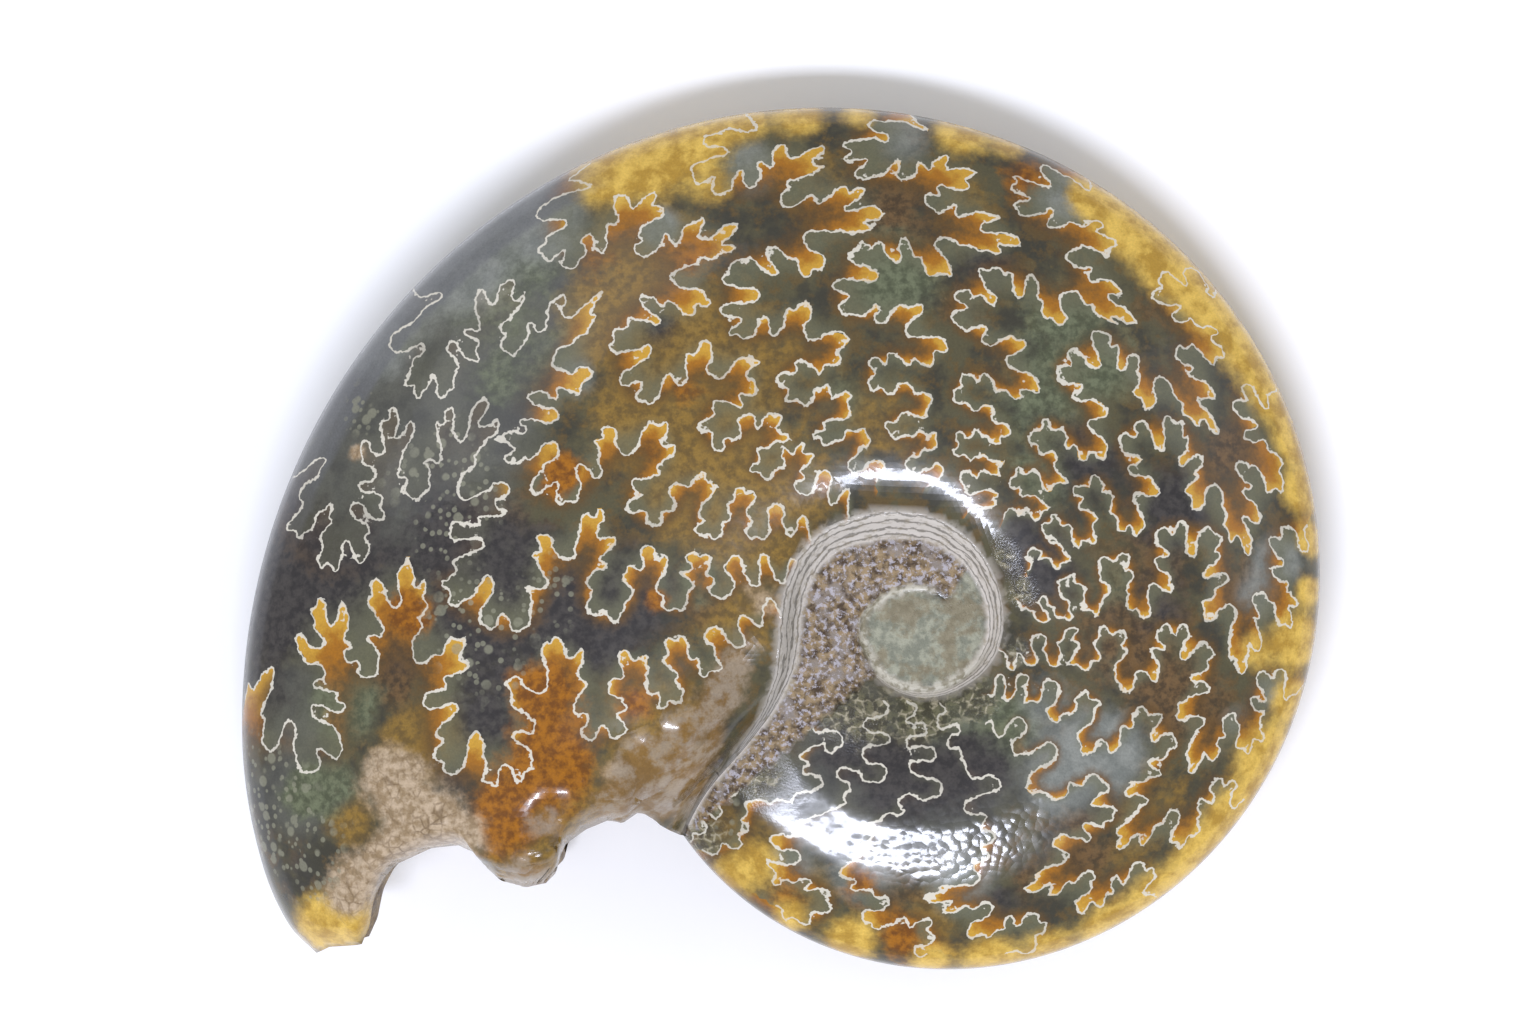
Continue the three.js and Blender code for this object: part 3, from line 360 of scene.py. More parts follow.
    """
    1243 799, 1238 803, 1231 808, 1228 798, 1233 787, 1233 781, 1228 779, 1224 783, 1220 782, 1217 777,
    1211 779, 1207 787, 1211 794, 1209 802, 1203 799, 1198 796, 1194 801, 1197 812, 1194 820, 1197 828,
    1192 835, 1186 835, 1181 843, 1177 848, 1175 840, 1168 839, 1170 828, 1176 817, 1175 809, 1168 807,
    1162 811, 1161 821, 1156 821, 1150 825, 1145 837, 1139 843, 1136 837, 1135 831, 1131 831, 1125 839,
    1117 845, 1112 845, 1115 837, 1118 833, 1113 831, 1116 825, 1124 817, 1136 805, 1143 798, 1140 793,
    1129 792, 1124 794, 1122 787, 1127 782, 1125 778, 1140 779, 1142 775, 1155 773, 1154 767, 1144 762,
    1147 757, 1158 755, 1165 747, 1171 742, 1169 733, 1161 731, 1149 739, 1145 733, 1151 723, 1157 714,
    1153 710, 1143 713, 1141 706, 1135 705, 1128 712, 1128 721, 1125 726, 1119 723, 1115 726, 1115 740,
    1109 749, 1104 746, 1101 738, 1094 737, 1089 747, 1082 751, 1077 747, 1078 740, 1073 733, 1080 725,
    1089 717, 1090 707, 1096 699, 1086 696, 1082 689, 1072 697, 1071 709, 1059 712, 1052 719, 1044 711,
    1045 706, 1053 697, 1055 683, 1047 678, 1040 682, 1036 699, 1029 698, 1021 700, 1023 692, 1022 685,
    1025 675, 1015 673, 1012 692, 1008 697, 1002 697, 1001 676, 995 673, 991 692, 986 693
    """,
    """
    1156 896, 1150 894, 1144 894, 1143 889, 1148 881, 1154 874, 1152 867, 1148 866, 1143 869, 1140 862,
    1135 860, 1131 861, 1127 870, 1124 879, 1121 883, 1118 880, 1115 873, 1112 875, 1108 880, 1110 888,
    1111 893, 1104 891, 1102 897, 1101 903, 1097 905, 1094 901, 1088 900, 1085 908, 1079 911, 1076 907,
    1073 900, 1078 895, 1086 890, 1089 883, 1088 878, 1092 875, 1089 870, 1085 867, 1079 871, 1074 877,
    1071 881, 1066 878, 1062 881, 1058 888, 1053 892, 1046 892, 1048 886, 1048 882, 1044 881, 1038 885,
    1029 888, 1023 885, 1028 880, 1034 876, 1031 872, 1039 866, 1049 863, 1060 860, 1065 854, 1064 849,
    1056 845, 1049 842, 1050 838, 1057 831, 1067 834, 1077 835, 1084 839, 1087 834, 1081 827, 1081 820,
    1099 823, 1100 818, 1108 816, 1110 805, 1091 802, 1088 798, 1104 787, 1104 782, 1097 775, 1088 771,
    1081 775, 1078 783, 1066 779, 1062 791, 1052 797, 1045 791, 1037 789, 1027 790, 1023 784, 1028 780,
    1025 774, 1036 765, 1046 762, 1054 751, 1049 740, 1041 741, 1029 749, 1012 751, 1009 741, 1018 733,
    1023 723, 1018 715, 1010 718, 1005 723, 1000 733, 995 733, 991 726, 990 718, 984 722
    """,
    """
    1006 952, 1014 950, 1024 953, 1031 951, 1035 945, 1034 940, 1035 934, 1042 931, 1044 921, 1038 919,
    1036 913, 1031 910, 1022 914, 1019 921, 1014 924, 1012 917, 1008 912, 1004 917, 1003 925, 997 927,
    992 931, 987 936, 983 932, 977 933, 971 936, 966 933, 968 924, 973 919, 981 917, 987 910, 991 905,
    988 899, 981 900, 971 905, 964 902, 953 909, 942 909, 946 903, 952 898, 945 897, 933 899, 925 897,
    923 893, 929 890, 938 889, 944 888, 937 885, 940 882, 950 883, 958 881, 968 881, 976 878, 977 871,
    970 862, 980 856, 988 850, 978 843, 990 838, 992 829, 978 824, 984 815, 978 811, 968 811, 962 803,
    968 795, 985 790, 997 785, 996 777, 985 772, 974 776, 965 768, 960 757, 958 746, 948 746, 945 741,
    951 732, 958 730, 952 722, 944 727, 938 725, 936 716, 944 708, 938 702
    """,
    """
    926 952, 921 955, 917 954, 914 945, 923 943, 932 940, 933 933, 926 928, 930 921, 928 917, 919 917,
    914 922, 909 925, 906 919, 904 914, 898 916, 893 922, 889 921, 884 924, 878 928, 873 925, 870 921,
    863 920, 863 911, 869 907, 875 908, 885 904, 888 899, 885 893, 879 893, 873 893, 870 887, 862 887,
    854 888, 850 886, 851 881, 856 880, 852 876, 843 873, 838 870, 841 864, 847 861, 853 857, 862 850,
    858 842, 868 838, 872 829, 864 822, 878 817, 886 810, 896 812, 903 808, 896 800, 902 793, 910 791,
    920 796, 937 793, 939 780, 935 777, 925 775, 912 770, 907 765, 909 759, 925 758, 933 755, 931 746,
    920 744, 907 745, 906 738, 914 733, 923 733, 926 730, 922 722, 915 721, 905 720, 912 713, 915 706,
    906 700
    """,
    """
    776 905, 782 909, 784 919, 792 917, 802 923, 810 922, 810 913, 816 910, 824 911, 830 906, 828 900,
    825 895, 829 892, 828 887, 820 886, 817 885, 813 888, 807 888, 803 886, 808 883, 810 877, 802 876,
    794 880, 787 877, 782 878, 779 884, 773 880, 776 870, 769 864, 766 857, 775 860, 785 862, 794 860,
    799 857, 798 850, 791 846, 783 848, 776 844, 769 838, 776 832, 790 833, 802 830, 796 820, 806 816,
    820 812, 832 806, 845 800, 841 795, 845 790, 849 786, 846 780, 838 776, 835 769, 845 764, 851 767,
    857 770, 861 776, 866 779, 880 778, 885 768, 881 762, 873 761, 866 760, 862 754, 864 746, 874 742,
    884 742, 889 738, 885 732, 878 730, 872 732, 866 727, 862 722, 870 716, 880 714, 888 708, 882 700
    """,
    """
    702 850, 711 854, 716 854, 719 849, 724 842, 731 847, 739 846, 742 842, 739 836, 737 831, 742 829,
    748 829, 746 821, 741 818, 748 810, 746 801, 758 797, 770 801, 780 796, 790 800, 796 790, 806 790,
    814 787, 820 783, 820 776, 812 772, 804 771, 803 767, 808 763, 806 758, 798 755, 806 748, 815 744,
    822 741, 826 748, 830 751, 834 746, 841 743, 841 737, 837 731, 830 729, 822 728, 816 731, 812 724,
    806 728, 803 718, 795 712, 800 704
    """,
    """
    690 842, 694 834, 702 832, 706 824, 700 818, 708 812, 716 816, 722 808, 716 800, 724 794, 734 792,
    740 782, 736 774, 746 768, 756 770, 764 762, 760 752, 770 746, 778 738, 776 728, 786 722
    """,
)


def lerp(start, stop, share):
    return start + (stop - start) * share


def smoothstep(value, low, high):
    share = np.clip((value - low) / (high - low), 0, 1)
    return share * share * (3 - 2 * share)


def through(pairs):
    """A curve through (place, value) pairs that never overshoots them"""
    places, values = np.array(pairs, float).T
    slopes = np.diff(values) / np.diff(places)
    product = slopes[:-1] * slopes[1:]
    total = np.where(product > 0, slopes[:-1] + slopes[1:], 1)
    middle = np.where(product > 0, 2 * product / total, 0)
    tangents = np.concatenate((slopes[:1], middle, slopes[-1:]))

    def curve(place):
        x = np.clip(place, places[0], places[-1])
        i = np.clip(np.searchsorted(places, x, side="right") - 1, 0, len(places) - 2)
        span = places[i + 1] - places[i]
        u = (x - places[i]) / span
        before = values[i] * (1 + 2 * u) + tangents[i] * span * u
        after = values[i + 1] * (3 - 2 * u) - tangents[i + 1] * span * (1 - u)
        return before * (1 - u) ** 2 + after * u ** 2

    return curve


def spiral_radius(angle):
    """Radius of the logarithmic spiral of the keel about the umbilicus"""
    theta = np.radians(angle)
    radius = KEEL_RADIUS * np.exp(GROWTH * theta)
    for _ in range(12):
        arm_x = np.cos(theta) * radius - COILING_AXIS[0]
        arm_y = np.sin(theta) * radius - COILING_AXIS[1]
        length = np.hypot(arm_x, arm_y)
        turned = np.arcsin((np.cos(theta) * arm_y - np.sin(theta) * arm_x) / length)
        radius = radius * KEEL_RADIUS * np.exp(GROWTH * (theta + turned)) / length
    return radius


keel_wear = through([(180, 0), (190, 0.001), (200, 0.01), (205, 0.024), (208.2, 0.048)])


def keel_radius(angle):
    return spiral_radius(angle) * (1 - keel_wear(angle))


# What changes along the spiral, as (angle, value)
seam_radius = through([
    (-304, 2.4), (-265, 2.9), (-231, 3.6), (-205, 4.4), (-185, 5.15), (-160, 5.3), (-100, 5.1),
    (-50, 4.7), (0, 4.75), (40, 5.2), (69, 6), (89, 6.75), (108, 7.4), (124, 8.25), (139, 9.35),
    (154, 10), (170, 10.2), (185, 10.4), (195, 11), (204, 12.6), (209, 14.4), (213.3, 17.5),
    (217, 22.3), (MOUTH_ANGLE, float(keel_radius(MOUTH_ANGLE - TURN))),
])
wall_run = through([
    (-304, 0.3), (-200, 0.6), (-139, 0.6), (-80, 0.7), (-20, 1), (20, 1.1), (60, 1.6), (90, 2),
    (120, 2.4), (150, 2), (180, 1.7), (200, 1.7), (212, 1.5), (217, 0.9), (MOUTH_ANGLE, 0.4),
])
shoulder_share = through([
    (-304, 0.8), (-200, 0.8), (-139, 0.66), (-90, 0.62), (-50, 0.74), (-10, 0.84), (30, 0.87),
    (185, 0.87), (200, 0.78), (212, 0.5), (217, 0.3), (MOUTH_ANGLE, 0.16),
])
crest_place = through([
    (-200, 0.62), (-139, 0.5), (-60, 0.52), (0, 0.62), (60, 0.66), (180, 0.64), (205, 0.5),
    (MOUTH_ANGLE, 0.4),
])
flank_rise = through([
    (0, 0), (0.02, 0.13), (0.06, 0.25), (0.12, 0.36), (0.3, 0.6), (0.6, 0.88), (1, 1),
])

# The broken edge seen from above, as (radius, angle), and low lumps of crystal near it, as
# (x, y, spread, height)
BROKEN_EDGE = (
    (55.5, 208.2), (54.2, 208.2), (51.7, 209.3), (50.2, 207.9), (48.9, 206), (47.5, 204.7),
    (46.2, 204), (43, 203.9), (41, 204.8), (40.1, 206.2), (39.8, 208.4), (39.3, 210.5),
    (37.8, 212.7), (36.3, 213.6), (35.2, 213.2), (34.4, 211.9), (33.4, 210.7), (31.4, 210.4),
    (29.6, 210.9), (28.8, 212.5), (27.3, 212.4), (26.8, 214.2), (26.4, 217.1),
)
LUMPS = (
    (-31, -18.2, 2.2, 0.7), (-24.8, -13.6, 2, 0.6), (-19, -9, 2.2, 0.7), (-16.6, -5.6, 1.8, 0.6),
    (-28.6, -12.4, 1.7, 0.5), (-44.2, -11.6, 2.4, 0.5), (-48.6, -17.2, 2, 0.5),
)


def half_width(angle):
    return HALF_WIDTH * np.exp(GROWTH * np.radians(angle))


def depth(angle):
    return keel_radius(angle) - seam_radius(angle)


def wall_share(angle):
    return 1 - wall_run(angle) / depth(angle)


def crest_share(angle):
    return np.minimum(crest_place(angle), wall_share(angle) - CREST_GAP)


def share_at(angle, radius):
    return np.clip((keel_radius(angle) - radius) / depth(angle), 0, 1)


def radius_at(angle, share):
    return lerp(keel_radius(angle), seam_radius(angle), share)


BROKEN_SHARES = [0, *(float(share_at(angle, radius)) for radius, angle in BROKEN_EDGE[1:]), 1]
BROKEN_ANGLES = [*(angle for _, angle in BROKEN_EDGE), MOUTH_ANGLE]


def broken_angle(share):
    return np.interp(share, BROKEN_SHARES, BROKEN_ANGLES)


def edge_share(angle, share):
    """How much of its half width the flank keeps near the worn edge of the broken end"""
    away = np.radians(broken_angle(share) - angle) * radius_at(angle, share)
    drop = EDGE_DROP * (1 - np.clip(away / EDGE_ROUNDING, 0, 1)) ** 2
    return 1 - drop * (1 - smoothstep(share, 0.8, 1))


def turn_height(angle, share, foot):
    """Height of a turn above the mid-plane, from keel to crest to shoulder to seam"""
    top = half_width(angle) * edge_share(angle, share)
    wall = wall_share(angle)
    crest = crest_share(angle)
    shoulder = top * shoulder_share(angle)
    rising = top * flank_rise(share / crest)
    falling = lerp(top, shoulder, ((share - crest) / (wall - crest)) ** 2)
    dropping = lerp(shoulder, foot, smoothstep(share, wall, 1))
    return np.where(share < crest, rising, np.where(share < wall, falling, dropping))


def hollow_height(angle, radius):
    """Height inside the umbilicus, where the inner turn sinks into the stone fill"""
    shown = np.clip((angle - HOLLOW_END_ANGLE) / HOLLOW_FADE, 0, 1)
    turn = turn_height(angle, share_at(angle, radius), FILL_HEIGHT)
    return lerp(FILL_HEIGHT, turn, shown)


def lump_height(x, y):
    total = np.zeros_like(x)
    for at_x, at_y, spread, height in LUMPS:
        total += height * np.exp(-((x - at_x) ** 2 + (y - at_y) ** 2) / spread ** 2)
    return total


def skin_height(angle, radius):
    """Height of the upper side above the mid-plane"""
    seam = seam_radius(angle)
    inner = hollow_height(angle - TURN, np.minimum(radius, seam))
    share = share_at(angle, np.maximum(radius, seam))
    foot = hollow_height(angle - TURN, seam)
    raised = smoothstep(share, 0, 0.1) * (1 - smoothstep(share, wall_share(angle), 1))
    theta = np.radians(angle)
    lumps = lump_height(radius * np.cos(theta), radius * np.sin(theta))
    outer = turn_height(angle, share, foot) + raised * lumps
    return np.where(radius >= seam, outer, inner)


class Unrolled:
    """A flat map of the upper side that keeps its distances outwards from the umbilicus"""

    def __init__(self, angle_step=0.5, steps=600):
        count = int(round(TURN / angle_step))
        self.first = MOUTH_ANGLE - TURN
        self.step = TURN / count
        self.angles = self.first + self.step * np.arange(count + 1)
        self.shares = np.linspace(0, 1, steps + 1)
        self.keel = keel_radius(self.angles)
        angle = np.repeat(self.angles[:, None], steps + 1, axis=1)
        radius = self.keel[:, None] * self.shares[None, :]
        radius = np.minimum(radius, self.keel[:, None] - HAIR)
        height = skin_height(angle, radius)
        runs = np.hypot(np.diff(radius, axis=1), np.diff(height, axis=1))
        self.reach = np.concatenate((np.zeros((count + 1, 1)), np.cumsum(runs, axis=1)), axis=1)
        self.radius = np.array([
            np.interp(self.shares * reach[-1], reach, row) for reach, row in zip(self.reach, radius)
        ])

    def look_up(self, table, angle, share):
        at = np.clip((angle - self.first) / self.step, 0, len(self.angles) - 1 - HAIR)
        across = np.clip(share, 0, 1) * (len(self.shares) - 1)
        i = at.astype(int)
        j = np.minimum(across.astype(int), len(self.shares) - 2)
        u = at - i
        v = across - j
        low = lerp(table[i, j], table[i, j + 1], v)
        high = lerp(table[i + 1, j], table[i + 1, j + 1], v)
        return lerp(low, high, u)

    def place(self, angle, radius):
        """Points of the map from angles and radii of the shell"""
        keel = np.interp(angle, self.angles, self.keel)
        reach = self.look_up(self.reach, angle, radius / keel)
        theta = np.radians(angle)
        return np.stack((reach * np.cos(theta), reach * np.sin(theta)), axis=1)

    def unplace(self, points):
        """Angles and radii of the shell from points of the map"""
        angle = np.degrees(np.arctan2(points[:, 1], points[:, 0]))
        angle = (angle - self.first) % TURN + self.first
        reach = np.hypot(points[:, 0], points[:, 1])
        furthest = np.interp(angle, self.angles, self.reach[:, -1])
        return angle, self.look_up(self.radius, angle, reach / furthest)


def shell_point(pixel_x, pixel_y):
    x = (pixel_x - UMBILICUS_PIXEL[0]) * MM_PER_PIXEL
    y = (UMBILICUS_PIXEL[1] - pixel_y) * MM_PER_PIXEL
    return x, y


def read_path(text):
    """A path of pixels from a text such as "12 34, 56 78" """
    pixels = np.array([[float(word) for word in pair.split()] for pair in text.split(",")])
    x, y = shell_point(pixels[:, 0], pixels[:, 1])
    return np.stack((x, y), axis=1)


def smooth_path(points, step):
    """Points a step apart along a smooth curve through the given ones"""
    padded = np.vstack((2 * points[0] - points[1], points, 2 * points[-1] - points[-2]))
    p0, p1, p2, p3 = padded[:-3], padded[1:-2], padded[2:-1], padded[3:]
    u = np.linspace(0, 1, 12, endpoint=False)[None, :, None]
    a, b, c, d = (p[:, None, :] for p in (p0, p1, p2, p3))
    curve = 0.5 * (2 * b + (c - a) * u + (2 * a - 5 * b + 4 * c - d) * u ** 2
                   + (3 * b - a - 3 * c + d) * u ** 3)
    return even_path(np.vstack((curve.reshape(-1, 2), points[-1:])), step)


def even_path(points, step):
    runs = np.hypot(*np.diff(points, axis=0).T)
    along = np.concatenate(([0], np.cumsum(runs)))
    count = max(2, int(round(along[-1] / step)) + 1)
    places = np.linspace(0, along[-1], count)
    return np.stack([np.interp(places, along, points[:, i]) for i in (0, 1)], axis=1)


def on_map(unrolled, points):
    """Plan points of the shell as points of the map, held inside the keel"""
    angle = np.degrees(np.arctan2(points[:, 1], points[:, 0]))
    angle = (angle - unrolled.first) % TURN + unrolled.first
    radius = np.minimum(np.hypot(points[:, 0], points[:, 1]), keel_radius(angle) * 0.9995)
    return unrolled.place(angle, radius)


def make_tree(points):
    tree = kdtree.KDTree(len(points))
    for i, (x, y) in enumerate(points):
        tree.insert((x, y, 0), i)
    tree.balance()
    return tree


class Traces:
    """Suture paths as close samples on the map, to measure distances and sides from"""

    def __init__(self, paths):
        self.paths = paths
        self.trees = [make_tree(path) for path in paths]
        self.whole = make_tree(np.vstack(paths))
        self.owner = np.repeat(np.arange(len(paths)), [len(path) for path in paths])

    def measure(self, number, points):
        """Distances of points from a path, and whether each is on its left"""
        path = self.paths[number]
        tree = self.trees[number]
        nearest = np.array([tree.find((x, y, 0))[1] for x, y in points])
        best = np.full(len(points), np.inf)
        side = np.zeros(len(points))
        for offset in (-1, 0):
            i = np.clip(nearest + offset, 0, len(path) - 2)
            run = path[i + 1] - path[i]
            away = points - path[i]
            share = np.clip((away * run).sum(1) / (run * run).sum(1), 0, 1)
            gap = away - run * share[:, None]
            distance = np.hypot(gap[:, 0], gap[:, 1])
            cross = run[:, 0] * gap[:, 1] - run[:, 1] * gap[:, 0]
            closer = distance < best - HAIR
            tied = np.abs(distance - best) <= HAIR
            side = np.where(closer, cross, np.where(tied, side + cross, side))
            best = np.where(closer, distance, best)
        return best, side >= 0

    def chambers(self, points):
        """The number of the chamber that each point is in. Chamber 0 is nearest the mouth, and
        path n lies between chamber n, on the side of the mouth, and chamber n + 1"""
        numbers = self.owner[[self.whole.find((x, y, 0))[1] for x, y in points]]
        result = np.zeros(len(points), int)
        for number in range(len(self.paths)):
            mine = numbers == number
            if mine.any():
                result[mine] = number + self.measure(number, points[mine])[1]
        return result


class Neighbourhood:
    """How much of the older and of the younger chambers lies around a point, over a width that
    grows with the distance from the umbilicus, as the sutures do"""

    STEP = 0.012
    SPREAD = 0.042
    NEAREST = 3
    INNERMOST = 3.01
    FURTHEST = 60

    def __init__(self, unrolled, traces):
        self.first = unrolled.first
        angles = self.first + np.degrees(self.STEP) * np.arange(int(2 * math.pi / self.STEP) + 2)
        self.nearest = math.log(self.NEAREST)
        radii = np.exp(np.arange(self.nearest, math.log(self.FURTHEST), self.STEP))
        angle, radius = (grid.ravel() for grid in np.meshgrid(angles, radii, indexing="ij"))
        angle = np.minimum(angle, MOUTH_ANGLE)
        points = unrolled.place(angle, np.minimum(radius, keel_radius(angle) * 0.999))
        chambers = traces.chambers(points).reshape(len(angles), len(radii))
        count = len(traces.paths) + 1
        self.older = np.array([self.soften(chambers > number) for number in range(count)])
        self.younger = np.array([self.soften(chambers < number) for number in range(count)])

    def soften(self, field):
        reach = int(3 * self.SPREAD / self.STEP)
        kernel = np.exp(-0.5 * (np.arange(-reach, reach + 1) * self.STEP / self.SPREAD) ** 2)
        kernel /= kernel.sum()
        field = field.astype(float)
        for axis in (0, 1):
            padded = np.pad(field, [(reach, reach) if i == axis else (0, 0) for i in (0, 1)], "edge")
            parts = (np.take(padded, range(i, i + field.shape[axis]), axis) for i in range(len(kernel)))
            field = sum(weight * part for weight, part in zip(kernel, parts))
        return field

    def look_up(self, fields, chamber, angle, radius):
        rows = np.radians(angle - self.first) / self.STEP
        columns = (np.log(np.maximum(radius, self.INNERMOST)) - self.nearest) / self.STEP
        i = np.clip(rows.astype(int), 0, fields.shape[1] - 2)
        j = np.clip(columns.astype(int), 0, fields.shape[2] - 2)
        u = np.clip(rows - i, 0, 1)
        v = np.clip(columns - j, 0, 1)
        low = lerp(fields[chamber, i, j], fields[chamber, i, j + 1], v)
        high = lerp(fields[chamber, i + 1, j], fields[chamber, i + 1, j + 1], v)
        return lerp(low, high, u)


def zone_weight(blobs, x, y):
    """Strength from 0 to 1 of a zone that is drawn as round soft spots of the photograph"""
    total = np.zeros_like(x)
    for pixel_x, pixel_y, spread, strength in blobs:
        at_x, at_y = shell_point(pixel_x, pixel_y)
        away = ((x - at_x) ** 2 + (y - at_y) ** 2) / (spread * MM_PER_PIXEL) ** 2
        total = 1 - (1 - total) * (1 - strength * np.exp(-away))
    return total


def far_enough(points, others, gap):
    """Which points are at least a gap away from all the others"""
    tree = make_tree(others)
    return np.array([tree.find((x, y, 0))[2] >= gap for x, y in points], bool)


def thinned(points, cell):
    _, first = np.unique(np.round(points / cell).astype(int), axis=0, return_index=True)
    return points[np.sort(first)]


def inside(unrolled, points):
    """Which points of the map lie within the keel and behind the broken end"""
    angle, radius = unrolled.unplace(points)
    within = np.hypot(*points.T) < np.interp(angle, unrolled.angles, unrolled.reach[:, -1])
    kept = (angle < broken_angle(share_at(angle, radius))) | (radius < seam_radius(angle))
    return within & kept


def boundary(unrolled):
    """The outline on the map: round the keel, then in along the broken end"""
    fine = np.linspace(unrolled.first, BROKEN_EDGE[0][1], KEEL_SAMPLES)
    keel = even_path(unrolled.place(fine, keel_radius(fine)), EDGE_STEP)
    shares = np.linspace(0, 1, BROKEN_SAMPLES)
    angles = broken_angle(shares)
    broken = even_path(unrolled.place(angles, radius_at(angles, shares)), EDGE_STEP)
    return keel, broken


def lay_out_points(unrolled, traces):
    """Points of the map and the edges that must be kept between them"""
    keel, broken = boundary(unrolled)
    outline = np.vstack((keel[:-1], broken[:-1]))
    count = len(outline)
    edges = [(i, (i + 1) % count) for i in range(count)]
    groups = [outline]
    angles = np.linspace(HOLLOW_END_ANGLE + 5, MOUTH_ANGLE - 1, SEAM_SAMPLES)
    turned = np.where(angles > unrolled.first, angles, angles + TURN)
    seam = even_path(unrolled.place(turned, seam_radius(angles)), EDGE_STEP)
    walls = np.linspace(unrolled.first, MOUTH_ANGLE - 8, SEAM_SAMPLES)
    brow = even_path(unrolled.place(walls, radius_at(walls, wall_share(walls))), EDGE_STEP)
    for path in (seam, brow, *(even_path(path, LINE_STEP) for path in traces.paths)):
        kept = far_enough(path, outline, LINE_GAP)
        numbers = sum(len(group) for group in groups) + np.cumsum(kept) - 1
        both = kept[:-1] & kept[1:]
        edges += [(int(a), int(b)) for a, b in zip(numbers[:-1][both], numbers[1:][both])]
        groups.append(path[kept])
    lines = np.vstack(groups[1:])
    sides = []
    for path in traces.paths:
        even = even_path(path, LINE_STEP)
        run = np.gradient(even, axis=0)
        normal = np.stack((-run[:, 1], run[:, 0]), axis=1) / np.hypot(*run.T)[:, None]
        sides += [even + LINE_SIDE * normal, even - LINE_SIDE * normal]
    sides = thinned(np.vstack(sides), SIDE_GAP)
    sides = sides[far_enough(sides, np.vstack((outline, lines)), LINE_GAP)]
    low = outline.min(0)
    high = outline.max(0)
    columns = np.arange(low[0], high[0], FILL_STEP)
    rows = np.arange(low[1], high[1], FILL_STEP * math.sqrt(0.75))
    shift = FILL_STEP / 2 * (np.arange(len(rows)) % 2)
    fill = np.array([(x + shift[i], y) for i, y in enumerate(rows) for x in columns])
    fill = fill[far_enough(fill, np.vstack((outline, lines, sides)), FILL_GAP)]
    groups += [loose[inside(unrolled, loose)] for loose in (sides, fill)]
    return np.vstack(groups), edges, keel, broken


class Skin:
    """The triangles of the upper side, with what the colours need to know at their corners"""

    def __init__(self, paths):
        unrolled = Unrolled()
        traces = Traces([even_path(on_map(unrolled, path), TRACE_STEP) for path in paths])
        points, edges, keel, broken = lay_out_points(unrolled, traces)
        flat, _, faces, _, _, _ = delaunay_2d_cdt(
            [Vector(point) for point in points], edges, [], 1, 1e-6, False
        )
        self.map = np.array([tuple(point) for point in flat])
        faces = np.array(faces)
        self.faces = faces[inside(unrolled, self.map[faces].mean(1))]
        angle, radius = unrolled.unplace(self.map)
        self.angle = angle
        self.radius = radius
        self.x = radius * np.cos(np.radians(angle))
        self.y = radius * np.sin(np.radians(angle))
        self.z = skin_height(angle, np.minimum(radius, keel_radius(angle) - HAIR))
        tree = make_tree(self.map)
        self.keel = [tree.find((x, y, 0))[1] for x, y in keel]
        self.broken = [tree.find((x, y, 0))[1] for x, y in broken[:-1]] + [self.keel[0]]
        self.z[self.keel] = 0
        self.measure(unrolled, traces)

    def measure(self, unrolled, traces):
        """Distance of each point from the nearest line. For each corner, its distance from the
        lines that bound its chamber, the one behind it, older, and the one ahead, and how much
        of the older and younger chambers is around it"""
        chamber = traces.chambers(self.map[self.faces].mean(1))
        self.line = np.full(len(self.map), FAR)
        self.behind = np.full(self.faces.shape, FAR)
        self.ahead = np.full(self.faces.shape, FAR)
        for number in range(len(traces.paths)):
            mouthward = chamber == number
            apical = chamber == number + 1
            used = np.unique(self.faces[mouthward | apical])
            distance = np.full(len(self.map), FAR)
            distance[used] = traces.measure(number, self.map[used])[0]
            self.behind[mouthward] = distance[self.faces[mouthward]]
            self.ahead[apical] = distance[self.faces[apical]]
            self.line = np.minimum(self.line, distance)
        around = Neighbourhood(unrolled, traces)
        places = (chamber[:, None], self.angle[self.faces], self.radius[self.faces])
        self.tip = around.look_up(around.older, *places)
        self.bay = around.look_up(around.younger, *places)


def settle(points):
    """Points of the shell in metres where it lies, with what would sink below the table cut off"""
    points = points * SKIN_INSET
    level = points @ np.array(UP) + REST_HEIGHT
    points[:, 2] -= np.minimum(level - TABLE_GAP, 0) / UP.z
    turn = np.array(lie().to_matrix())
    place = np.array((*UMBILICUS_PLACE, REST_HEIGHT))
    return (points @ turn.T + place) * MM


def lie():
    """The turn that lays the shell down as it leans at rest"""
    return UP.rotation_difference(Vector((0, 0, 1)))


def broken_face(skin):
    """Points between the two edges of the broken end, row by row, dished and fluted"""
    x, y, z = (values[skin.broken] for values in (skin.x, skin.y, skin.z))
    share = share_at(skin.angle[skin.broken], skin.radius[skin.broken])
    share[-1] = 1
    wall = float(wall_share(MOUTH_ANGLE))
    on_flank = FLANK_PART * np.clip(share / wall, 0, 1) ** (1 / CROWDING_AT_KEEL)
    on_wall = (1 - FLANK_PART) * np.clip((share - wall) / (1 - wall), 0, 1)
    part = on_flank + on_wall
    length = np.hypot(x, y)
    rows = []
    for j in range(1, END_ROWS):
        level = 1 - 2 * j / END_ROWS
        flutes = 0.65 + 0.35 * np.sin(END_FLUTES * math.pi * part + 2 * level)
        inwards = np.minimum(END_HOLLOW, z / 3) * (1 - level ** 2) * flutes
        rows.append(np.stack((x + y / length * inwards, y - x / length * inwards, z * level), axis=1))
    return np.array(rows)


